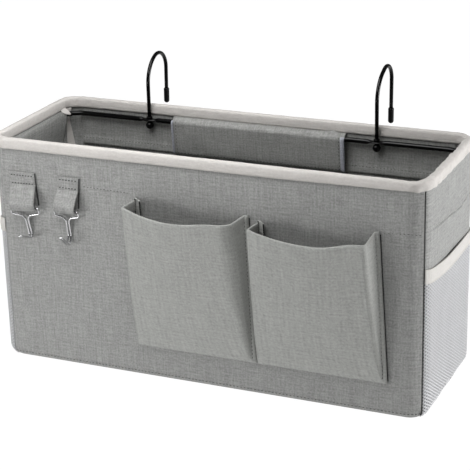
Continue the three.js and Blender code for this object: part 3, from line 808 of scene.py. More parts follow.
def swept_tube(
    points: Sequence[Vector], sides: int, half_sizes: Callable[[Vector], tuple[float, float]], up: Vector
) -> Mesh:
    """Sweep an oval section along a path.

    Args:
        points: The path.
        sides: Faces round the section.
        half_sizes: Half width and half height of the section at a point of the path.
        up: Direction that the height keeps to as far as the path lets it.

    Returns:
        A closed tube.
    """
    frames: list[tuple[Vector, Vector, Vector]] = []
    rise = up
    for number, point in enumerate(points):
        before = points[max(number - 1, 0)]
        after = points[min(number + 1, len(points) - 1)]
        along = (after - before).normalized()
        rise = (rise - along * rise.dot(along)).normalized()
        frames.append((point, along.cross(rise), rise))

    def place(share_round: float, share_along: float) -> Vector:
        """Return a point of the tube's skin."""
        point, across, tall = frames[round(share_along * (len(frames) - 1))]
        wide, high = half_sizes(point)
        angle = 2 * math.pi * share_round
        return point + across * wide * math.cos(angle) + tall * high * math.sin(angle)

    bm = laid_grid(sides, len(points) - 1, place, TUBE_MAP, joined=True)
    rims = [edge for edge in bm.edges if edge.is_boundary]
    bmesh.ops.holes_fill(bm, edges=rims, sides=sides + 1)
    bmesh.ops.recalc_face_normals(bm, faces=bm.faces)
    return bm


def round_tube(points: Sequence[Vector], sides: int, radius: float, up: Vector) -> Mesh:
    """Sweep a round section along a path."""
    return swept_tube(points, sides, lambda point: (radius, radius), up)


def moved(bm: Mesh, at: Vector, turned: Matrix | None = None) -> Mesh:
    """Return the mesh turned about the origin and then moved to a place."""
    matrix = Matrix.Translation(at) @ turned if turned else Matrix.Translation(at)
    bmesh.ops.transform(bm, matrix=matrix, verts=bm.verts)
    return bm


def spun(profile: Sequence[tuple[float, float]], steps: int = 32) -> Mesh:
    """Spin a profile of radius and height about the upright axis into a closed body."""
    bm = bmesh.new()
    bm.loops.layers.uv.new(CLOTH_MAP)
    verts = [bm.verts.new((radius, 0, height)) for radius, height in profile]
    edges = [bm.edges.new(pair) for pair in zip(verts, verts[1:])]
    bmesh.ops.spin(
        bm, geom=verts + edges, cent=(0, 0, 0), axis=(0, 0, 1), angle=2 * math.pi, steps=steps, use_merge=True
    )
    bmesh.ops.remove_doubles(bm, verts=bm.verts, dist=SAME_PLACE)
    bmesh.ops.recalc_face_normals(bm, faces=bm.faces)
    for face in bm.faces:
        face.smooth = True
    return bm


# Sub-assemblies


@dataclass
class Shell:
    """Outer canvas panels, sewn at upright seams near the corners and at the base seam."""

    finishes: Finishes
    seam_gap: float = 0.6
    ridge: float = 0.7
    ridge_width: float = 2.2
    groove: float = 0.6
    groove_width: float = 1.3
    ripple: float = 0.35
    crease_depth: float = 2.6
    crease_width: float = 0.8
    crease_drop: float = 0.7
    reach_above: float = 9.0
    reach_below: float = 14.0
    cloth_step: float = 1.8
    creased_step: float = 0.8
    shadow_cord_top: float = 196.5
    shadow_cord_low: float = 7.5
    shadow_cord_foot: float = 4.4
    shadow_cord_foot_inset: float = 1.4
    shadow_cord_steps: int = 40
    shadow_cord: tuple[float, float] = (-0.25, 0.7)
    deep_shadow_cord: tuple[float, float] = (0.45, 0.5)
    base_flat: tuple[float, float] = (385.0, 135.0)
    base_seam_height: float = 6.2
    facing_rows: tuple[tuple[float, float, float, float], ...] = (
        (-106.0, 169.6, -62.0, 168.6), (160.0, 160.8, 192.0, 162.6),
    )
    creases: tuple[tuple[float, float], ...] = (
        (-54.0, 163.6), (-34.5, 162.0), (-6.9, 160.1), (16.9, 156.8), (28.0, 157.6), (39.4, 159.4),
        (54.0, 161.5),
    )

    def crease_height(self, y: float) -> float:
        """Return the height of the fold line that packing has left across a side."""
        for (y0, z0), (y1, z1) in zip(self.creases, self.creases[1:]):
            if y <= y1:
                return lerp(z0, z1, max(0.0, (y - y0) / (y1 - y0)))
        return self.creases[-1][1]

    def crease(self, y: float, z: float) -> float:
        """Return how far the side stands out at its packing fold, less where the fold line is sunk."""
        above = z - self.crease_height(y)
        reach = self.reach_above if above > 0 else self.reach_below
        raised = lerp(1.2, 2.0, ease(above, -0.6, 0.4)) * math.exp(-abs(above) / reach)
        sunk = self.crease_depth * dent(above + self.crease_drop, self.crease_width)
        return ease(y, -58, -44) * (raised - sunk)

    def panel(self, name: str, start: float, end: float, creased: bool, seed: float) -> Piece:
        """Lay one upright panel.

        Args:
            name: The panel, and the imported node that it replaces.
            start: Distance along the outline where it starts.
            end: Distance where it ends.
            creased: Whether the packing fold crosses it.
            seed: Sets its own ripples apart.

        Returns:
            The panel.
        """
        first = start + self.seam_gap / 2
        last = end - self.seam_gap / 2
        length = BOX.wall_length(0)

        def place(share_along: float, share_up: float) -> Vector:
            """Return a point of the panel's outer face."""
            distance = lerp(first, last, share_along)
            inset, z = BOX.profile(share_up * length, 0)
            to_seam = min(distance - first, last - distance)
            free = ease(to_seam, 2, 14) * ease(z, 12, 40) * ease(BOX.height - z, 10, 30)
            out = self.ripple * free * (waves(distance / 55, z / 70, seed) + 0.5)
            if creased:
                out -= self.groove * (1 - ease(to_seam, 0.0, self.groove_width))
                out += self.crease(BOX.station(distance)[0].y, z)
            else:
                out += self.ridge * (1 - ease(to_seam, 0.2, self.ridge_width))
            return BOX.point(distance, inset - out, z)

        step = self.creased_step if creased else self.cloth_step
        return Cloth(name, last - first, length, place, self.finishes.canvas, Slot.CANVAS, step=step).lay()

    def base(self) -> Piece:
        """Lay the base panel: a flat floor with its rim turned up to the base seam."""
        radius = BOX.base_radius
        reach = BOX.half_y + BOX.corner_radius - radius
        length = reach + (math.radians(90 - BOX.base_seam) * radius - self.seam_gap / 2)

        def place(share_round: float, share_out: float) -> Vector:
            """Return a point of the base's lower face."""
            distance = -share_round * BOX.girth
            along = share_out * length
            if along <= reach:
                return BOX.plan_point(distance, radius, along / reach)
            angle = (along - reach) / radius
            edge = BOX.plan_point(distance, radius, 1.0)
            turned_up = edge + BOX.station(distance)[1] * radius * math.sin(angle)
            turned_up.z = radius * (1 - math.cos(angle))
            return turned_up

        return Cloth(
            "base_panel", *self.base_flat, place, self.finishes.canvas, Slot.CANVAS, faces=(258, 24),
            joined=True, by_plan=True, rests_on=("base_board",),
        ).lay()

    def shadow_cords(self) -> None:
        """Lay the dark cords that paint the shadow in the gaps of the upright seams, the front left one
        deeper.
        """
        for number, distance in enumerate(BOX.seams, 1):
            inset, radius = self.deep_shadow_cord if number == 4 else self.shadow_cord
            points = [BOX.point(distance, inset + self.shadow_cord_foot_inset, self.shadow_cord_foot)]
            for step in range(self.shadow_cord_steps + 1):
                z = lerp(self.shadow_cord_low, self.shadow_cord_top, step / self.shadow_cord_steps)
                points.append(BOX.point(distance, inset, z))
            bm = round_tube(points, sides=8, radius=radius, up=BOX.station(distance)[1])
            piece_of(bm, f"seam_welt_{number}", self.finishes.shadow_dark_thread, Slot.CANVAS)

    def sew(self) -> None:
        """Sew the line that holds the inner facing, and the base seam."""
        rows = Stitching("shell_stitches", self.finishes.shadow_dark_thread, Slot.CANVAS, thickness=0.5)
        y = BOX.front - 0.1
        for x0, z0, x1, z1 in self.facing_rows:
            rows.straight(Vector((x0, y, z0)), Vector((x1, y, z1)))
        low = outline_run(0.4, lambda distance: self.base_seam_height)
        front_right, rear_right, rear_left, front_left = BOX.seams
        rows.row(low, front_left - BOX.girth, front_right)
        rows.row(low, rear_right, rear_left)
        rows.finish()

    def build(self) -> None:
        """Build every panel and its seams."""
        front_right, rear_right, rear_left, front_left = BOX.seams
        self.panel("front_panel", front_left - BOX.girth, front_right, False, 3.1)
        self.panel("right_panel", front_right, rear_right, True, 7.7)
        self.panel("back_panel", rear_right, rear_left, False, 12.9)
        self.panel("left_panel", rear_left, front_left, True, 17.3)
        self.base()
        self.shadow_cords()
        self.sew()


@dataclass
class Lining:
    """Inner cloth: the wrap with the rod's casing, the back piece, the floor, the facing, the sleeve
    over the rod and the tape strips in the rear corners."""

    finishes: Finishes
    face: float = 3.0
    rod_height: float = ROD_HEIGHT
    casing_depth: float = 3.1
    casing_fall: float = 27.0
    casing_rise: float = 6.5
    rod_bend: float = 20.0
    bend_y: float = 41.95
    split_y: float = 51.5
    split_gap: float = 0.4
    seam_drop: float = 4.4
    seam_depth: float = 0.5
    facing_inset: float = 3.75
    facing_low: float = 161.0
    hem_width: float = 6.0
    hem_depth: float = 0.7
    sleeve_left: float = -83.5
    sleeve_right: float = 81.0
    sleeve_top: float = 197.5
    sleeve_reach: float = 11.05
    sleeve_seam: float = 3.8
    reach_height: float = 189.5
    painted_lit_edge_top: float = 193.6
    strip_width: float = 11.0
    strip_low: float = 158.0
    strip_inset: float = 3.95
    strip_outer: float = 8.5
    strip_slant: tuple[float, float] = (-2.2, 4.4)
    slant_height: float = 31.0
    fan_low: float = 187.5
    fan_top: float = 195.0
    fan_out: float = 11.0
    fan_in: float = 4.0
    floor_height: float = 3.6
    floor_margin: float = 3.5
    floor_flat: tuple[float, float] = (377.0, 127.0)

    @property
    def split(self) -> float:
        """Distance along the outline at which the wrap ends on each side."""
        return BOX.corner(1, 90) + BOX.half_y + self.split_y

    def casing(self, distance: float, z: float) -> float:
        """Return how far the rod's casing stands in from the lining at a place."""
        over = z - self.rod_height
        reach = self.casing_rise if over > 0 else self.casing_fall
        swell = math.cos(min(1.0, abs(over) / reach) * math.pi / 2) ** 1.5
        past = BOX.station(distance)[0].y - self.bend_y
        if past <= 0:
            return self.casing_depth * swell
        away = self.rod_bend - math.sqrt(self.rod_bend**2 - past**2)
        return (self.casing_depth + away) * swell

    def inner_wall(self, name: str, start: float, end: float, cased: bool, seed: float) -> Piece:
        """Lay one length of lining, whose seen face looks into the box.

        Args:
            name: The piece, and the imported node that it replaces.
            start: Distance along the outline where it starts.
            end: Distance where it ends.
            cased: Whether the rod's casing stands proud along its top.
            seed: Sets its own ripples apart.

        Returns:
            The lining.
        """
        length = BOX.wall_length(self.face) - 1.0

        def place(share_along: float, share_up: float) -> Vector:
            """Return a point of the lining's inner face."""
            distance = lerp(end, start, share_along)
            inset, z = BOX.profile(share_up * length + 0.5, self.face)
            free = ease(z, 12, 40) * ease(self.rod_height - 8 - z, 0, 20)
            lift = 0.8 * free * (waves(distance / 50, z / 60, seed) + 0.5)
            if cased:
                sewn = self.seam_depth * dent(z - self.rod_height + self.seam_drop, 0.8)
                lift += self.casing(distance, z) - sewn
            return BOX.point(distance, inset + lift, z)

        return Cloth(name, end - start, length, place, self.finishes.lining, Slot.LINING, step=2.4).lay()

    def floor(self) -> Piece:
        """Lay the floor of the lining."""

        def place(share_round: float, share_out: float) -> Vector:
            """Return a point of the floor."""
            here = BOX.plan_point(share_round * BOX.girth, self.face + self.floor_margin, share_out)
            soft = ease(share_out, 1.0, 0.75)
            here.z = self.floor_height + 0.5 * soft * (noise.noise(here / 45) + 0.5)
            return here

        return Cloth(
            "lining_base", *self.floor_flat, place, self.finishes.lining, Slot.LINING, faces=(200, 24),
            joined=True, by_plan=True, held=Held.LAID, rests_on=("base_board",),
        ).lay()

    def facing(self) -> Piece:
        """Lay the facing along the top of the back wall, with its hem turned under."""

        def place(share_along: float, share_up: float) -> Vector:
            """Return a point of the facing."""
            x = lerp(-BOX.half_x, BOX.half_x, share_along)
            z = lerp(self.facing_low, BOX.cloth_top, share_up)
            over_hem = z - self.facing_low
            hem = self.hem_depth * (1 - ease(over_hem, self.hem_width, self.hem_width + 1.0))
            wave = 0.4 * ease(195 - z, 0, 10) * (waves(x / 30, z / 30, 5.5) + 0.4)
            return Vector((x, -BOX.front - self.facing_inset - hem - wave, z))

        return Cloth(
            "back_facing", 2 * BOX.half_x, BOX.cloth_top - self.facing_low, place, self.finishes.lining,
            Slot.LINING, rests_on=("lining_back",),
        ).lay()

    def sleeve_inset(self, z: float) -> float:
        """Return how far the sleeve stands in from the back face at a height."""
        flat = self.facing_inset + 0.75
        if z <= self.reach_height:
            up = max(0.0, z - self.facing_low) / (self.reach_height - self.facing_low)
            return lerp(flat + 1.2, self.sleeve_reach, up**0.3)
        return lerp(self.sleeve_reach, flat, ease(z, 192.0, 196.6))

    def sleeve(self) -> Piece:
        """Lay the sleeve that holds the middle of the rod against the back."""
        low = self.facing_low - 0.6

        def place(share_along: float, share_up: float) -> Vector:
            """Return a point of the sleeve's seen face."""
            x = lerp(self.sleeve_left, self.sleeve_right, share_along)
            z = lerp(low, self.sleeve_top, share_up)
            edge = min(x - self.sleeve_left, self.sleeve_right - x)
            slack = 0.7 * ease(edge, 1, 12) * ease(z, 166, 178)
            wave = slack * waves(x / 22, z / 26, 9.2)
            sewn = 0.35 * dent(edge - self.sleeve_seam, 0.9)
            return Vector((x, -BOX.front - self.sleeve_inset(z) - wave + sewn, z))

        return Cloth(
            "rod_sleeve", self.sleeve_right - self.sleeve_left, self.sleeve_top - low + 6, place,
            self.finishes.lining, Slot.LINING, step=1.6, rests_on=("frame_rod", "back_facing"),
            edging=(
                self.painted_lit_edge("sleeve_painted_lit_edge", self.sleeve_right - 3.2, 3.6),
                self.painted_lit_edge("sleeve_left_painted_lit_edge", self.sleeve_left - 0.4, 1.8),
            ),
        ).lay()

    def painted_lit_edge(self, name: str, left: float, width: float) -> Piece:
        """Lay the pale strip that paints the highlight where one end of the sleeve catches the light.

        Args:
            name: The edge strip.
            left: Where it starts in width.
            width: How wide it is.

        Returns:
            The strip.
        """
        low = self.facing_low + 0.4

        def place(share_along: float, share_up: float) -> Vector:
            """Return a point of the edge strip."""
            z = lerp(low, self.painted_lit_edge_top, share_up)
            return Vector((left + width * share_along, -BOX.front - self.sleeve_inset(z) - 0.75, z))

        return Cloth(
            name, width, self.painted_lit_edge_top - low, place, self.finishes.painted_lit_edge, Slot.LINING, thickness=0.5,
            step=1.2, packed=False,
        ).lay()

    def strip(self, name: str, middle: float, side: int, seed: float) -> Piece:
        """Lay a tape strip down a rear corner, its end fanned out below the rim tape.

        Args:
            name: The strip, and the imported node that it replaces.
            middle: Distance along the outline of the corner's middle.
            side: Way along the outline from there to the side wall, 1 or -1.
            seed: Sets its own ripples apart.

        Returns:
            The strip.
        """
        low = self.strip_low
        top = self.sleeve_top

        def place(share_along: float, share_up: float) -> Vector:
            """Return a point of the strip."""
            z = lerp(low, top, share_up)
            fan = ease(z, self.fan_low, self.fan_top)
            inner = lerp(*self.strip_slant, min(1.0, (z - low) / self.slant_height)) - self.fan_in * fan
            outer = self.strip_outer + self.fan_out * fan
            away = lerp(outer, inner, share_along) if side > 0 else lerp(inner, outer, share_along)
            distance = middle + side * away
            over_casing = ease(away, 9.0, 12.0) * self.casing(distance, z) * ease(z, 189, 191)
            wave = 0.4 * waves(distance / 5, z / 7, seed)
            return BOX.point(distance, self.strip_inset + 0.5 * fan + over_casing + wave, z)

        return Cloth(
            name, self.strip_width, top - low, place, self.finishes.tape, Slot.TAPE, thickness=0.7, step=0.8,
            held=Held.FOLDED, rests_on=("lining_back",),
        ).lay()

    def sew(self) -> None:
        """Sew the casing, the facing's hem and the ends of the sleeve."""
        rows = Stitching("lining_stitches", self.finishes.shadow_dark_thread, Slot.LINING, thickness=0.5)
        seam = self.rod_height - self.seam_drop
        over = outline_run(self.face + self.casing(0, seam) - 0.3, lambda distance: seam, -1.0)
        rows.row(over, -self.split + 12, self.split - 12)
        back = -BOX.front
        y = back - self.facing_inset - 0.75
        z = self.facing_low + 6.4
        for x0, x1 in ((-BOX.half_x, self.sleeve_left - 1), (self.sleeve_right + 1, BOX.half_x)):
            rows.straight(Vector((x0, y, z)), Vector((x1, y, z)))
        y = back - self.sleeve_inset(self.facing_low + 3)
        z = self.facing_low + 2.2
        rows.straight(Vector((self.sleeve_left, y, z)), Vector((self.sleeve_right, y, z)))
        for x in (self.sleeve_left + self.sleeve_seam, self.sleeve_right - 4.6):

            def upright(distance: float, x: float = x) -> Stitch:
                """Return a place on the upright row at this end of the sleeve."""
                z = self.facing_low + distance
                here = Vector((x, back - self.sleeve_inset(z), z))
                ahead = Vector((x, back - self.sleeve_inset(z + 1), z + 1))
                return here, ahead - here, FORWARD

            rows.row(upright, 1.0, 33.0)
        rows.finish()

    def build(self) -> None:
        """Build every piece of the lining."""
        self.inner_wall("lining_wrap", -self.split, self.split, True, 21.0)
        rear_end = BOX.girth - self.split - self.split_gap
        self.inner_wall("lining_back", self.split + self.split_gap, rear_end, False, 33.0)
        self.floor()
        self.facing()
        self.sleeve()
        self.strip("right_corner_strip", BOX.corner(2, 45), -1, 41.0)
        self.strip("left_corner_strip", BOX.corner(3, 45), 1, 47.0)
        self.sew()


@dataclass
class RimBinding:
    """Cream tape folded over the rim, sewn through both its edges and puckered at the corners."""

    finishes: Finishes
    outer_inset: float = -0.95
    inner_inset: float = 4.75
    low: float = 196.15
    thickness: float = 0.7
    shoulder: float = 2.6
    squareness: float = 0.5
    drawn_up: float = 1.3
    seam_height: float = 1.6
    seam_depth: float = 0.22
    puff: float = 0.12
    flat_gather: float = 0.2
    corner_gather: float = 0.75
    right_gather: float = 1.3
    most_gather: float = 1.7
    ripple: float = 6.5
    fold: float = 15.0
    sway: float = 24.0
    fray: float = 8.0

    @property
    def half(self) -> float:
        """Half the width of the rim."""
        return (self.inner_inset - self.outer_inset) / 2

    @property
    def leg(self) -> float:
        """Length of the tape's flat part on each side of the rim."""
        return BOX.height - self.shoulder - self.low

    @property
    def over(self) -> float:
        """Length of the tape's turn over the rim."""
        return math.pi / 2 * (self.shoulder + self.half) * 0.95

    def pucker(self, distance: float) -> float:
        """Return how much the tape gathers at a distance along the outline, most at corners and right."""
        gather = self.flat_gather
        for number in range(1, 5):
            middle = BOX.corner(number, 45)
            gap = abs((distance - middle + BOX.girth / 2) % BOX.girth - BOX.girth / 2)
            gather += self.corner_gather * (1 - ease(gap, 8, 24))
        side = BOX.station(distance)[1].x
        return min(self.most_gather, gather + self.right_gather * max(0.0, side))

    def place(self, share_along: float, share_over: float) -> Vector:
        """Return a point of the tape's outer skin, from its outer edge over the rim to its inner edge."""
        distance = share_along * BOX.girth
        leg = self.leg
        total = 2 * leg + self.over
        along = share_over * total
        gather = self.pucker(distance)
        if along < leg:
            inset, z, side = self.outer_inset, self.low + along, -1.0
        elif along > leg + self.over:
            inset, z, side = self.inner_inset, self.low + total - along, 1.0
        else:
            angle = math.pi * (along - leg) / self.over
            across = math.copysign(abs(math.cos(angle)) ** self.squareness, math.cos(angle))
            inset = (self.outer_inset + self.inner_inset) / 2 - self.half * across
            z = BOX.height - self.shoulder + self.shoulder * math.sin(angle) ** self.squareness
            side = -math.cos(angle)
        edge = min(along, total - along)
        at = BOX.point(distance, 0, 0)
        wave = waves(at.x / self.ripple, at.y / self.ripple, along / 9)
        wave += 0.6 * waves(at.x / self.fold, at.y / self.fold, 8.0 + along / 16)
        puff = self.puff * math.sin(math.pi * min(1.0, edge / leg)) + self.puff
        sewn = self.seam_depth * dent(edge - self.seam_height, 0.7)
        out = puff - sewn + gather * (0.75 * wave + 0.1)
        lifted = gather * 0.9 * waves(at.x / self.sway, at.y / self.sway, 1.0)
        inset += side * max(-0.1, out) if abs(side) > 0.05 else 0.0
        z += (1 - abs(side)) * max(0.0, out) + lifted * ease(z, 198, 204)
        if edge < 0.5:
            z += 0.7 * gather * waves(at.x / self.fray, at.y / self.fray, side)
        if side < 0:
            z += self.drawn_up * ease(at.x, 60, 185) * ease(-at.y, 50, 58) * (1 - ease(along, 0, leg))
        return BOX.point(distance, inset, z)

    def build(self) -> None:
        """Build the tape and its two rows of stitches."""
        Cloth(
            "rim_tape", BOX.girth, 2 * self.leg + self.over, self.place, self.finishes.tape, Slot.TAPE,
            thickness=self.thickness, step=1.3, joined=True, held=Held.FOLDED,
        ).lay()
        rows = Stitching("tape_stitches", self.finishes.cream_thread, Slot.TAPE, thickness=0.45)
        for inset, outward in ((self.outer_inset - 0.05, 1.0), (self.inner_inset + 0.05, -1.0)):
            run = outline_run(inset, lambda distance: self.low + self.seam_height, outward)
            rows.row(run, 0, BOX.girth)
        rows.finish()


@dataclass
class BellowsPocket:
    """Front pocket that stands forward on a gusset at the left and folds back to a seam at the right."""

    name: str
    finishes: Finishes
    left: float
    right: float
    top_right: float
    depth: float
    corner: float
    lip: float
    kink: float
    heel: float
    crease: float
    base: float = 32.0
    foot_depth: float = 1.3
    swell_power: float = 0.62
    crown: float = 2.5
    edge_depth: float = 3.6
    fold_radius: float = 2.4
    crease_bend: float = 3.2
    cloth: float = 0.6
    hem: float = 9.0
    rows: int = 64
    hem_rows: int = 8
    tab_width: float = 6.0
    tab_length: float = 95.0

    def outline(self, share: float) -> list[tuple[float, float, float]]:
        """Trace the pocket seen from above, at a share of its height.

        Args:
            share: 0 at the foot and 1 at the lip.

        Returns:
            For each point its x, how far it stands before the box, and the lip's height there.
        """
        rest = 0.8
        depth = lerp(self.foot_depth, self.depth, share**self.swell_power)
        swell = (depth - rest) / (self.depth - rest)
        radius = min(self.fold_radius, (depth - rest) / 2)
        points = []
        for step in range(8):
            part = step / 8
            x = self.left + 1.5 * swell * (1 - part) ** 1.5
            points.append((x, lerp(rest, depth - radius, part), self.corner))
        for step in range(9):
            angle = math.pi * (1 - 0.5 * step / 8)
            x = self.left + radius * (1 + math.cos(angle))
            points.append((x, depth - radius + radius * math.sin(angle), self.corner))
        edge = min(depth, self.edge_depth)
        side = edge - rest
        foot = Vector((lerp(self.right, self.top_right, share) - side, edge))
        corner = Vector((foot.x - lerp(0.6, self.crease, swell), depth))
        bend = min(self.crease_bend, (foot - corner).length / 2)
        start = self.left + radius
        for step in range(1, 41):
            part = step / 40
            x = lerp(start, corner.x - bend, part)
            bulge = self.crown * swell * math.sin(math.pi * part) * (1 - part / 2)
            dip = lerp(self.corner, self.lip, 1 - (1 - min(1.0, part / 0.55)) ** 2)
            points.append((x, depth + bulge, dip + (self.kink - self.lip) * ease(part, 0.6, 1.0)))
        arriving = corner - Vector((bend, 0))
        leaving = corner.lerp(foot, bend / (foot - corner).length)
        for step in range(1, 9):
            part = step / 8
            at = arriving.lerp(corner, part).lerp(corner.lerp(leaving, part), part)
            points.append((at.x, at.y, self.kink))
        for step in range(1, 17):
            at = leaving.lerp(foot, step / 16)
            points.append((at.x, at.y, lerp(self.kink, self.heel, step / 16)))
        for step in range(1, 6):
            angle = math.pi / 2 * step / 5
            points.append((foot.x + side * math.sin(angle), rest + side * math.cos(angle), self.heel))
        return points

    def build(self) -> None:
        """Build the pocket, its gusset tab and its stitches."""
        outlines: list[list[Vector]] = []
        for row in range(self.rows + 1):
            share = row / self.rows
            line = []
            for x, y, lip in self.outline(share):
                z = lerp(self.base, lip, share)
                soft = 0.55 * ease(share, 0, 0.2) * ease(y, 4, 10)
                y += soft * waves(x / 26, z / 30, self.depth)
                line.append(Vector((x, BOX.front - y, z)))
            outlines.append(line)
        last = outlines[-1]
        insides: list[Vector] = []
        for number in range(len(last)):
            along = last[min(number + 1, len(last) - 1)] - last[max(number - 1, 0)]
            insides.append(Vector((-along.y, along.x, 0)).normalized())
        total = self.rows + self.hem_rows

        def place(share_along: float, share_up: float) -> Vector:
            """Return a point of the pocket, up to its lip and down the hem inside it."""
            column = round(share_along * (len(last) - 1))
            row = round(share_up * total)
            if row <= self.rows:
                return outlines[row][column].copy()
            down = (row - self.rows) / self.hem_rows
            away = 1.15 * min(1.0, down * 3) ** 0.5
            here = last[column] + insides[column] * away
            over_lip = 0.45 * math.sin(math.pi * min(1.0, down * 2.2))
            here.z += over_lip - self.hem * max(0.0, down - 0.2) / 0.8
            here.y = min(here.y, BOX.front - 0.4)
            return here

        width = sum((b - a).length for a, b in zip(last, last[1:]))
        Cloth(
            self.name, width, self.lip - self.base + self.hem, place, self.finishes.pocket, Slot.CANVAS,
            thickness=self.cloth, faces=(len(last) - 1, total), offset=0.0, held=Held.GATHERED,
            rests_on=("front_panel",), edging=(self.tab(),),
        ).lay()
        self.sew(outlines)

    def tab(self) -> Piece:
        """Lay the gusset's seam allowance, turned in along the face behind the open corner."""
        left = self.left + 2.3
        top = self.corner + 2.5
        name = f"{self.name}_tab"

        def place(share_along: float, share_up: float) -> Vector:
            """Return a point of the tab, whose free edge curls away from the face."""
            z = top - self.tab_length * (1 - share_up)
            x = left + self.tab_width * share_along
            curl = 2.6 * share_along**2 * ease(z, top - 26, top) + 0.4 * share_along
            return Vector((x, BOX.front - 1.0 - curl, z - 1.2 * share_along * ease(z, top - 6, top)))

        # These thick, close stitches in the dark thread also paint the shade along the tab's edges.
        rows = Stitching(
            f"{name}_stitches", self.finishes.shadow_dark_thread, Slot.CANVAS, pitch=1.5, length=1.6, thickness=1.3
        )
        for share in (0.03, 0.97):

            def hem(distance: float, share: float = share) -> Stitch:
                """Return a place down this edge of the tab."""
                here = place(share, 1 - distance / self.tab_length)
                return here, place(share, 1 - (distance + 1) / self.tab_length) - here, FORWARD

            rows.row(hem, 0.5, 40)
        rows.finish()
        return Cloth(
            name, self.tab_width, self.tab_length, place, self.finishes.pocket, Slot.CANVAS, step=1.0
        ).lay()

    def sew(self, outlines: list[list[Vector]]) -> None:
        """Sew the foot, the right edge and a short bar across the lower right corner.

        Args:
            outlines: The pocket's rows of points from foot to lip.
        """
        # A dark cord where the right edge's fold meets the panel paints the shadow in the gap beside it.
        cord = [line[-1] + Vector((0.5, -0.1, 0)) for line in outlines[1:-1]]
        bm = round_tube(cord, sides=8, radius=0.5, up=FORWARD)
        piece_of(bm, f"{self.name}_edge_shadow_cord", self.finishes.shadow_dark_thread, Slot.CANVAS)
        rows = Stitching(f"{self.name}_stitches", self.finishes.shadow_dark_thread, Slot.CANVAS)
        foot = outlines[1]
        y = BOX.front - self.foot_depth - 0.35
        z = self.base + 1.8
        rows.straight(Vector((foot[8].x, y, z)), Vector((foot[-1].x - 1.5, y, z)))

        def edge(distance: float) -> Stitch:
            """Return a place beside the right edge's fold, at a distance in hundredths of its height."""
            at = distance / 100 * (len(outlines) - 1)
            number = min(len(outlines) - 2, int(at))
            here, ahead = (outlines[row][-6] + Vector((0, -0.3, 0)) for row in (number, number + 1))
            return here.lerp(ahead, at - number), ahead - here, Vector((0.35, -1, 0))

        rows.pitch = 3.3 * 100 / (self.heel - self.base)
        rows.row(edge, 3, 97)
        rows.pitch = 1.6
        y -= 0.4
        end = foot[-1].x
        rows.straight(Vector((end - 9, y, self.base + 4.0)), Vector((end - 1, y, self.base + 3.6)))
        rows.finish()


@dataclass
class NetPocket:
    """Net pocket over one side of the box, with an elastic band along its top."""

    side: str
    finishes: Finishes
    start: float
    end: float
    front_first: bool
    bulge: float = 1.4
    band_width: float = 12.5
    front_height: float = 132.0
    middle_height: float = 126.0
    rear_height: float = 124.0
    net_rise: float = 108.0
    net_off: float = 0.9
    band_off: float = 1.3
    seam_gap: float = 0.3
    stitch_share: float = 0.14

    def band_top(self, share: float) -> float:
        """Return the band's upper edge at a share of the way from the rear to the front."""
        if share < 0.5:
            return lerp(self.rear_height, self.middle_height, share * 2)
        return lerp(self.middle_height, self.front_height, (share * 2 - 1) ** 2)

    def swell(self, share: float, z: float) -> float:
        """Return how far the pocket stands off the side."""
        return self.bulge * math.sin(math.pi * share) ** 2 * ease(z, BOX.base_radius, self.rear_height)

    def share_from_rear(self, share_along: float) -> float:
        """Return the share of the way from the rear for a share along the outline."""
        return 1 - share_along if self.front_first else share_along

    def build(self) -> None:
        """Build the net, its band and the stitches that join them."""
        foot = math.radians(BOX.base_seam) * (BOX.base_radius + 1.0)
        first = self.start + self.seam_gap
        last = self.end - self.seam_gap
        width = last - first

        def net(share_along: float, share_up: float) -> Vector:
            """Return a point of the net."""
            share = self.share_from_rear(share_along)
            top = self.band_top(share) - self.band_width + 1.5
            along = share_up * (foot + top - BOX.base_radius)
            inset, z = BOX.profile(along, -self.net_off)
            slack = 0.5 * math.sin(math.pi * share) * waves(share * 6, z / 35, 6.0)
            return BOX.point(lerp(first, last, share_along), inset - self.swell(share, z) - slack, z)

        def band(share_along: float, share_up: float) -> Vector:
            """Return a point of the band."""
            share = self.share_from_rear(share_along)
            z = self.band_top(share) - self.band_width * (1 - share_up)
            distance = lerp(first, last, share_along)
            gather = 0.14 * math.sin(distance * 2.1 + 2 * waves(distance / 7, 1, 1))
            belly = 0.5 * math.sin(math.pi * share_up) ** 0.6
            return BOX.point(distance, -self.band_off - self.swell(share, z) - belly - gather, z)

        def lower(distance: float) -> Stitch:
            """Return a place just above the band's lower edge."""
            share = (distance - first) / width
            ahead, behind = min(1.0, share + 0.005), max(0.0, share - 0.005)
            here, after, before = (band(at, self.stitch_share) for at in (share, ahead, behind))
            return here, after - before, BOX.station(distance)[1]

        Cloth(
            f"{self.side}_mesh_pocket", width, foot + self.net_rise, net, self.finishes.net, Slot.NET,
            thickness=0.35, step=2.4, rests_on=(f"{self.side}_panel",),
        ).lay()
        Cloth(
            f"{self.side}_pocket_band", width, self.band_width, band, self.finishes.band, Slot.TAPE,
            thickness=1.0, step=0.9, held=Held.GATHERED, rests_on=(f"{self.side}_mesh_pocket",),
        ).lay()
        rows = Stitching(f"{self.side}_band_stitches", self.finishes.cream_thread, Slot.TAPE, thickness=0.42)
        rows.row(lower, first + 1, last - 1)
        rows.finish()


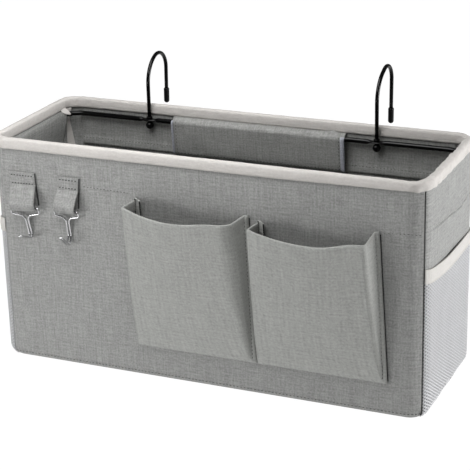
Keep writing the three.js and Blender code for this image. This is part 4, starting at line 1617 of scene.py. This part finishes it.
@dataclass
class HookStrap:
    """Canvas strap folded round the bar of a bent wire hook."""

    side: str
    finishes: Finishes
    hook_body: Body
    centre: float
    width: float
    length: float
    lean: float
    tilt: float
    drop: float
    kick: float
    reach: float
    rise: float
    rows_below_top: tuple[float, float]
    top: float = 176.5
    back: float = -70.3
    cloth: float = 1.0
    ply: float = 0.92
    edge_radius: float = 0.65
    row_margin: float = 1.2
    sewn: float = 11.0
    loop: float = 3.8
    wire: float = 1.6
    bar_end: float = 1.5
    half_gap: float = 0.2
    ring_bend: float = 2.3
    ring_drop: float = 5.0
    neck_drop: float = 7.0
    shank_spacing: float = 2.7
    foot_bend: float = 2.0
    foot_slope: float = 1.4

    @property
    def loop_y(self) -> float:
        """The loop's middle in depth."""
        return self.back - self.cloth - self.loop

    @property
    def bar_rise(self) -> float:
        """Height of the bar over the strap's lower end."""
        return self.cloth + 0.3 + self.wire / 2

    def section(self) -> list[tuple[float, float]]:
        """Return the strap's path in depth and height, down its back ply, round the bar and up."""
        middle = self.loop + self.cloth / 2
        loop_z = self.top - self.length + self.cloth + self.loop
        front = self.back - 1.5 * self.cloth - 0.1
        path = [(self.loop_y + middle, lerp(self.top, loop_z, part / 10)) for part in range(11)]
        for step in range(1, 13):
            angle = -math.pi * step / 12
            path.append((self.loop_y + middle * math.cos(angle), loop_z + middle * math.sin(angle)))
        low = loop_z + self.loop / 2
        path.append((self.loop_y - middle, low))
        for step in range(1, 8):
            part = step / 8
            depth = lerp(self.loop_y - middle, front, part) - 0.35 * math.sin(math.pi * part)
            path.append((depth, lerp(low, self.top - self.sewn, part)))
        path += [(front, lerp(self.top - self.sewn, self.top, part / 5)) for part in range(6)]
        return path

    def lay(self, across: float, y: float, z: float) -> Vector:
        """Place a point of the strap with its lean and tilt."""
        along = (self.top - z) / (self.length - self.bar_rise)
        shifted = self.centre + across + self.lean * along
        return Vector((shifted, y, z + math.tan(math.radians(self.tilt)) * across * along))

    def build(self) -> None:
        """Build the strap, its stitches and its wire hook."""
        path = self.section()
        steps = len(path) - 1

        def place(share_along: float, share_up: float) -> Vector:
            """Return a point of the strap's middle surface."""
            across = lerp(-self.width / 2, self.width / 2, share_along)
            at = share_up * steps
            number = min(steps - 1, int(at))
            (y0, z0), (y1, z1) = path[number], path[number + 1]
            part = at - number
            return self.lay(across, lerp(y0, y1, part), lerp(z0, z1, part))

        name = f"{self.side}_strap"
        length = sum(math.dist(a, b) for a, b in zip(path, path[1:]))
        Cloth(
            name, self.width, length, place, self.finishes.canvas, Slot.CANVAS, offset=0.0,
            thickness=self.cloth * self.ply, faces=(round(self.width / 1.5), 3 * steps), held=Held.FOLDED,
            rests_on=("front_panel",),
        ).lay()
        rows = Stitching(
            f"{name}_stitches", self.finishes.shadow_dark_thread, Slot.CANVAS, pitch=2.9, length=1.6, thickness=1.0
        )
        y = self.back - 2 * self.cloth - 0.05
        half = self.width / 2 - self.row_margin
        for below in self.rows_below_top:
            rows.straight(self.lay(-half, y, self.top - below), self.lay(half, y, self.top - below))
        rows.finish()
        # A dark cord down the strap's right edge paints the shadow in the gap between the strap and the
        # panel.
        edge = [
            self.lay(self.width / 2 - 0.1, self.back - 0.6 * self.cloth, self.top - below)
            for below in (0.4, self.sewn, self.length - 4.0)
        ]
        bm = round_tube(edge, sides=8, radius=self.edge_radius, up=FORWARD)
        piece_of(bm, f"{name}_side_shadow_cord", self.finishes.shadow_dark_thread, Slot.CANVAS)
        self.hook()

    def hook(self) -> Piece:
        """Bend the wire hook: a bar, a ring bend at each end, two shanks side by side and a hook."""
        end = self.width / 2 + self.bar_end
        shank = self.shank_spacing / 2
        heel = self.drop - self.kick * self.foot_slope
        half = [
            (Vector((self.half_gap, 0, 0)), 0),
            (Vector((end, 0, 0)), self.ring_bend),
            (Vector((end, 0, -self.ring_drop)), self.ring_bend),
            (Vector((shank, 0, -self.neck_drop)), 5.0),
            (Vector((shank, 0, -heel)), self.foot_bend),
            (Vector((shank, -self.kick, -self.drop)), self.foot_bend),
            (Vector((shank, -self.reach, self.rise - self.drop)), shank * 0.96),
        ]
        points = bent_path(both_sides(half), steps=10)
        radius = self.wire / 2
        bm = round_tube(points, sides=16, radius=radius, up=Vector((0, -1, 0.2)))
        heel_turn = math.atan2(1, self.foot_slope)
        straight = heel - self.foot_bend * math.tan(heel_turn / 2)
        space = self.cloth + self.loop - self.foot_bend - radius
        back = math.asin(space / math.hypot(straight, self.foot_bend)) + math.atan2(self.foot_bend, straight)
        turned = Matrix.Rotation(-math.radians(self.tilt), 4, "Y") @ Matrix.Rotation(back, 4, "X")
        at = Vector((self.centre + self.lean, self.loop_y, self.top - self.length + self.bar_rise))
        name = f"{self.side}_wire_hook"
        return piece_of(moved(bm, at, turned), name, self.finishes.wire, Slot.WIRE, self.hook_body, name)


@dataclass
class RodFrame:
    """Black rod bent round the rim, flattened and pierced where the rail hooks turn."""

    finishes: Finishes
    rod: float = 4.5
    height: float = ROD_HEIGHT
    wall: float = 3.0
    back: float = ROD_BACK
    half_gap: float = 0.2
    front_bend: float = 13.0
    rear_bend: float = 20.0
    pad_centres: tuple[float, float] = PAD_CENTRES
    pad_length: float = 18.0
    pad_width: float = 8.0
    pad_thickness: float = PAD_THICKNESS
    bore: float = 2.0
    drill_length: float = 20.0
    back_steps: int = 280

    def half_sizes(self, point: Vector) -> tuple[float, float]:
        """Return the rod's half width and half height, flatter and wider at a pad."""
        radius = self.rod / 2
        away = min(abs(point.x - centre) for centre in self.pad_centres)
        if point.y < 0 or away > self.pad_length / 2:
            return radius, radius
        share = away / (self.pad_length / 2)
        flat = ease(share, 0.95, 0.6)
        lens = self.pad_width / 2 * (1 - share**2)
        return max(lens, radius * (1 - 0.25 * flat)), lerp(radius, self.pad_thickness / 2, flat)

    def build(self) -> None:
        """Build the rod with its two pierced pads."""
        x = BOX.width / 2 - self.wall
        front = BOX.front + self.wall
        half = [
            (Vector((self.half_gap, front, self.height)), 0),
            (Vector((x, front, self.height)), self.front_bend),
            (Vector((x, self.back, self.height)), self.rear_bend),
        ]
        points: list[Vector] = []
        path = bent_path(both_sides(half), steps=14)
        for here, there in zip(path, path[1:]):
            on_pads = here.y > 0 and abs(here.x - there.x) > 100
            count = self.back_steps if on_pads else 1
            points += [here.lerp(there, step / count) for step in range(count)]
        points.append(path[-1])
        bm = swept_tube(points, sides=24, half_sizes=self.half_sizes, up=UPWARD)
        self.pierce(piece_of(bm, "frame_rod_bar", self.finishes.rod, Slot.ROD, node="frame_rod"))

    def pierce(self, rod: Piece) -> None:
        """Cut the two bores through the rod's pads.

        Args:
            rod: The rod, whose mesh is changed.
        """
        bm = bmesh.new()
        for centre in self.pad_centres:
            at = Matrix.Translation(Vector((centre, self.back, self.height)) * MM)
            bmesh.ops.create_cone(
                bm, cap_ends=True, segments=32, radius1=self.bore * MM, radius2=self.bore * MM,
                depth=self.drill_length * MM, matrix=at,
            )
        drill = mesh_object(bm, "drill")
        cut = rod.modifiers.new("bores", "BOOLEAN")
        cut.operation = "DIFFERENCE"
        cut.solver = "EXACT"
        cut.object = drill
        graph = bpy.context.evaluated_depsgraph_get()
        pierced = bpy.data.meshes.new_from_object(rod.evaluated_get(graph))
        rod.modifiers.remove(cut)
        rod.data = pierced
        bpy.data.objects.remove(drill)


@dataclass
class RailHook:
    """Hook that turns in a pad: a ball under it, a collar on it, a crook over the rail and a cap."""

    name: str
    finishes: Finishes
    body: Body
    x: float
    shoulder: float
    shoulder_bend: float
    peak: float
    peak_bend: float
    reach: float
    back: float = ROD_BACK
    height: float = ROD_HEIGHT
    wire: float = 3.4
    ball: float = 7.0
    collar: float = 5.4
    collar_height: float = 1.4
    pad_thickness: float = PAD_THICKNESS
    clearance: float = 0.3
    leg_lean: float = 2.0
    leg_end: float = 8.6
    cap: float = 5.0
    cap_length: float = 14.0
    cap_wall: float = 2.2

    @property
    def origin(self) -> Vector:
        """The middle of the pad."""
        return Vector((self.x, self.back, self.height))

    def build(self) -> None:
        """Build the crook with its ball and collar, and the cap."""
        ball_centre = -(self.pad_thickness + self.ball) / 2 - self.clearance
        leg_top = Vector((0, self.reach, self.peak))
        leg_end = Vector((0, self.reach - self.leg_lean, self.leg_end))
        corners = [
            (Vector((0, 0, ball_centre)), 0),
            (Vector((0, 0, self.shoulder)), self.shoulder_bend),
            (leg_top, self.peak_bend),
            (leg_end, 0),
        ]
        radius = self.wire / 2
        finish = self.finishes.rod
        bm = round_tube(bent_path(corners, steps=24), sides=24, radius=radius, up=Vector((1, 0, 0)))
        wire = f"{self.name}_wire"
        piece_of(moved(bm, self.origin), wire, finish, Slot.ROD, self.body, wire)
        bm = bmesh.new()
        bm.loops.layers.uv.new(CLOTH_MAP)
        at = Matrix.Translation(self.origin + Vector((0, 0, ball_centre)))
        bmesh.ops.create_uvsphere(bm, u_segments=36, v_segments=24, radius=self.ball / 2, matrix=at)
        for face in bm.faces:
            face.smooth = True
        piece_of(bm, f"{self.name}_ball", finish, Slot.ROD, self.body)
        low = self.pad_thickness / 2 + self.clearance
        top = low + self.collar_height
        half = self.collar / 2
        neck = radius - 0.2
        soft = 0.35
        bm = spun([
            (neck, low), (half - soft, low), (half - 0.1, low + 0.1), (half, low + soft), (half, top - soft),
            (half - 0.1, top - 0.1), (half - soft, top), (neck, top + 0.2), (neck, low),
        ])
        piece_of(moved(bm, self.origin), f"{self.name}_collar", finish, Slot.ROD, self.body)
        self.cap_piece(leg_top, leg_end)

    def cap_piece(self, leg_top: Vector, leg_end: Vector) -> None:
        """Put the rubber cap over the end of the leg.

        Args:
            leg_top: Upper end of the leg's line, from the hook's origin.
            leg_end: Where the wire ends.
        """
        outer = self.cap / 2
        mouth = self.cap_length - self.cap_wall
        bore = self.wire / 2 + 0.15
        profile = [
            (outer * math.cos(angle), outer - self.cap_wall + outer * math.sin(angle))
            for angle in (math.radians(-90 + 10 * step) for step in range(10))
        ]
        profile += [
            (outer, mouth - 2.2), (outer + 0.08, mouth - 1.6), (outer, mouth - 0.9),
            (outer - 0.15, mouth - 0.35), (outer - 0.5, mouth), (bore + 0.1, mouth), (bore, mouth - 0.15),
            (bore, -0.3), (0, -0.3),
        ]
        along = (leg_top - leg_end).normalized()
        turned = UPWARD.rotation_difference(along).to_matrix().to_4x4()
        name = f"{self.name}_cap"
        bm = moved(spun(profile), self.origin + leg_end, turned)
        piece_of(bm, name, self.finishes.cap, Slot.CAP, self.body, name)


@dataclass(frozen=True)
class SoftLamp:
    """Square lamp, its width in metres and its power in watts."""

    name: str
    at: tuple[float, float, float]
    width: float
    power: float

    def hang(self, aim: Vector) -> None:
        """Hang the lamp so that it looks at a place."""
        data = bpy.data.lights.new(self.name, "AREA")
        data.shape = "SQUARE"
        data.size = self.width
        data.energy = self.power
        lamp = linked(self.name, data)
        at = Vector(self.at)
        lamp.location = at * MM
        lamp.rotation_euler = (aim - at).to_track_quat("-Z", "Y").to_euler()


@dataclass
class Studio:
    """Pale floor, soft lamps and the camera of the photograph."""

    lamps: tuple[SoftLamp, ...] = (
        SoftLamp("key", (-590, -590, 30), 0.3, 4.15),
        SoftLamp("side", (1700, 420, 170), 0.7, 38.0),
        SoftLamp("top", (-300, -700, 2300), 1.2, 6.0),
        SoftLamp("well", (-60, -150, 530), 0.35, 2.1),
    )
    camera_at: tuple[float, float, float] = (534.1, -1201.2, 601.7)
    azimuth: float = 23.88
    elevation: float = 20.33
    roll: float = -1.48
    lens: float = 123.8
    world_light: float = 0.13
    floor_glow: float = 0.56
    floor_white: float = 0.93
    floor_size: float = 12.0
    floor_drop: float = 0.4
    sensor: float = 36.0
    aim: tuple[float, float, float] = (0, 0, 100)

    def build(self) -> None:
        """Build the floor, the world, the lamps and the camera."""
        self.floor()
        self.world()
        for lamp in self.lamps:
            lamp.hang(Vector(self.aim))
        self.camera()
        bpy.context.scene.view_settings.view_transform = "Standard"

    def floor(self) -> None:
        """Lay a pale floor that looks white, keeps a faint shadow and lights the box from below."""
        bm = bmesh.new()
        bmesh.ops.create_grid(bm, x_segments=1, y_segments=1, size=self.floor_size)
        floor = mesh_object(bm, "floor")
        floor.location.z = -self.floor_drop * MM
        material, graph = new_graph("pale_floor")
        seen = graph.seen()
        pale = graph.add("ShaderNodeBsdfDiffuse", {}, {"Color": (0.82, 0.82, 0.82, 1)})
        white = graph.add("ShaderNodeEmission", {}, {"Color": (1, 1, 1, 1), "Strength": 1.07})
        place = graph.add("ShaderNodeTexCoord", {}, {}, "Object")
        away = graph.add("ShaderNodeVectorMath", {"operation": "LENGTH"}, {0: place}, "Value")
        glow = self.floor_glow * (1.0 - away.rise(0.4, 1.1))
        share = glow + seen * (self.floor_white - glow)
        mixed = graph.add("ShaderNodeMixShader", {}, {0: share, 1: pale, 2: white})
        graph.add("ShaderNodeOutputMaterial", {}, {"Surface": mixed})
        floor.data.materials.append(material)

    def world(self) -> None:
        """Light the world softly, and show it white."""
        world = bpy.data.worlds.new("studio")
        world.use_nodes = True
        graph = Graph(world.node_tree)
        strength = self.world_light + graph.seen() * (1.0 - self.world_light)
        background = graph.add("ShaderNodeBackground", {}, {"Color": (1, 1, 1, 1), "Strength": strength})
        graph.add("ShaderNodeOutputWorld", {}, {"Surface": background})
        bpy.context.scene.world = world

    def camera(self) -> None:
        """Set up the camera where the photograph was taken from."""
        turn, tip, roll = (math.radians(value) for value in (self.azimuth, self.elevation, self.roll))
        ahead = Vector((-math.sin(turn) * math.cos(tip), math.cos(turn) * math.cos(tip), -math.sin(tip)))
        right = ahead.cross(UPWARD).normalized()
        up = right.cross(ahead)
        level = right * math.cos(roll) + up * math.sin(roll)
        top = up * math.cos(roll) - right * math.sin(roll)
        data = bpy.data.cameras.new("photo_camera")
        data.sensor_width = self.sensor
        data.lens = self.lens
        camera = linked("photo_camera", data)
        axes = Matrix((level, top, -ahead)).transposed().to_4x4()
        camera.matrix_world = Matrix.Translation(Vector(self.camera_at) * MM) @ axes
        bpy.context.scene.camera = camera


def dress_boards(finishes: Finishes) -> None:
    """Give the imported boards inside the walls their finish."""
    for side in ("front", "back", "left", "right", "base"):
        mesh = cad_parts[f"{side}_board"].data
        mesh.materials.clear()
        mesh.materials.append(finishes.board)


def main() -> None:
    """Build the organizer in order."""
    logging.basicConfig(level=logging.INFO, format="%(name)s: %(message)s")
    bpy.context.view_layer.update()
    Studio().build()
    finishes = mixed_finishes()
    dress_boards(finishes)
    Shell(finishes).build()
    Lining(finishes).build()
    RimBinding(finishes).build()
    BellowsPocket(
        "left_pocket", finishes, left=-59, right=51.2, top_right=46, depth=22.5, corner=163, lip=154.7,
        kink=157.6, heel=162, crease=10.9, crease_bend=9,
    ).build()
    BellowsPocket(
        "right_pocket", finishes, left=52, right=165, top_right=157.5, depth=20.5, corner=156.5, lip=149.5,
        kink=155.4, heel=161.5, crease=3.6,
    ).build()
    front_right, rear_right, rear_left, front_left = BOX.seams
    NetPocket("right", finishes, front_right, rear_right, True).build()
    NetPocket("left", finishes, rear_left, front_left, False).build()
    HookStrap(
        "left", finishes, Body.LEFT_KEY_HOOK, centre=-164, width=24.5, length=33.5, lean=2.4, tilt=5,
        drop=27.5, kick=2, reach=16.5, rise=9.5, rows_below_top=(2.6, 9.6),
    ).build()
    HookStrap(
        "right", finishes, Body.RIGHT_KEY_HOOK, centre=-118.8, width=20, length=31, lean=-2, tilt=0,
        drop=31, kick=5, reach=15, rise=13, rows_below_top=(2.2, 9.2),
    ).build()
    RodFrame(finishes).build()
    left_pad, right_pad = PAD_CENTRES
    RailHook(
        "left_rail_hook", finishes, Body.LEFT_CROOK, x=left_pad, shoulder=48.4, shoulder_bend=25.6, peak=66.7,
        peak_bend=16.2, reach=38.8,
    ).build()
    RailHook(
        "right_rail_hook", finishes, Body.RIGHT_CROOK, x=right_pad, shoulder=50.7, shoulder_bend=26.3,
        peak=69.4, peak_bend=14.4, reach=40.4,
    ).build()
    bpy.context.view_layer.update()


if __name__ == "__main__":
    main()
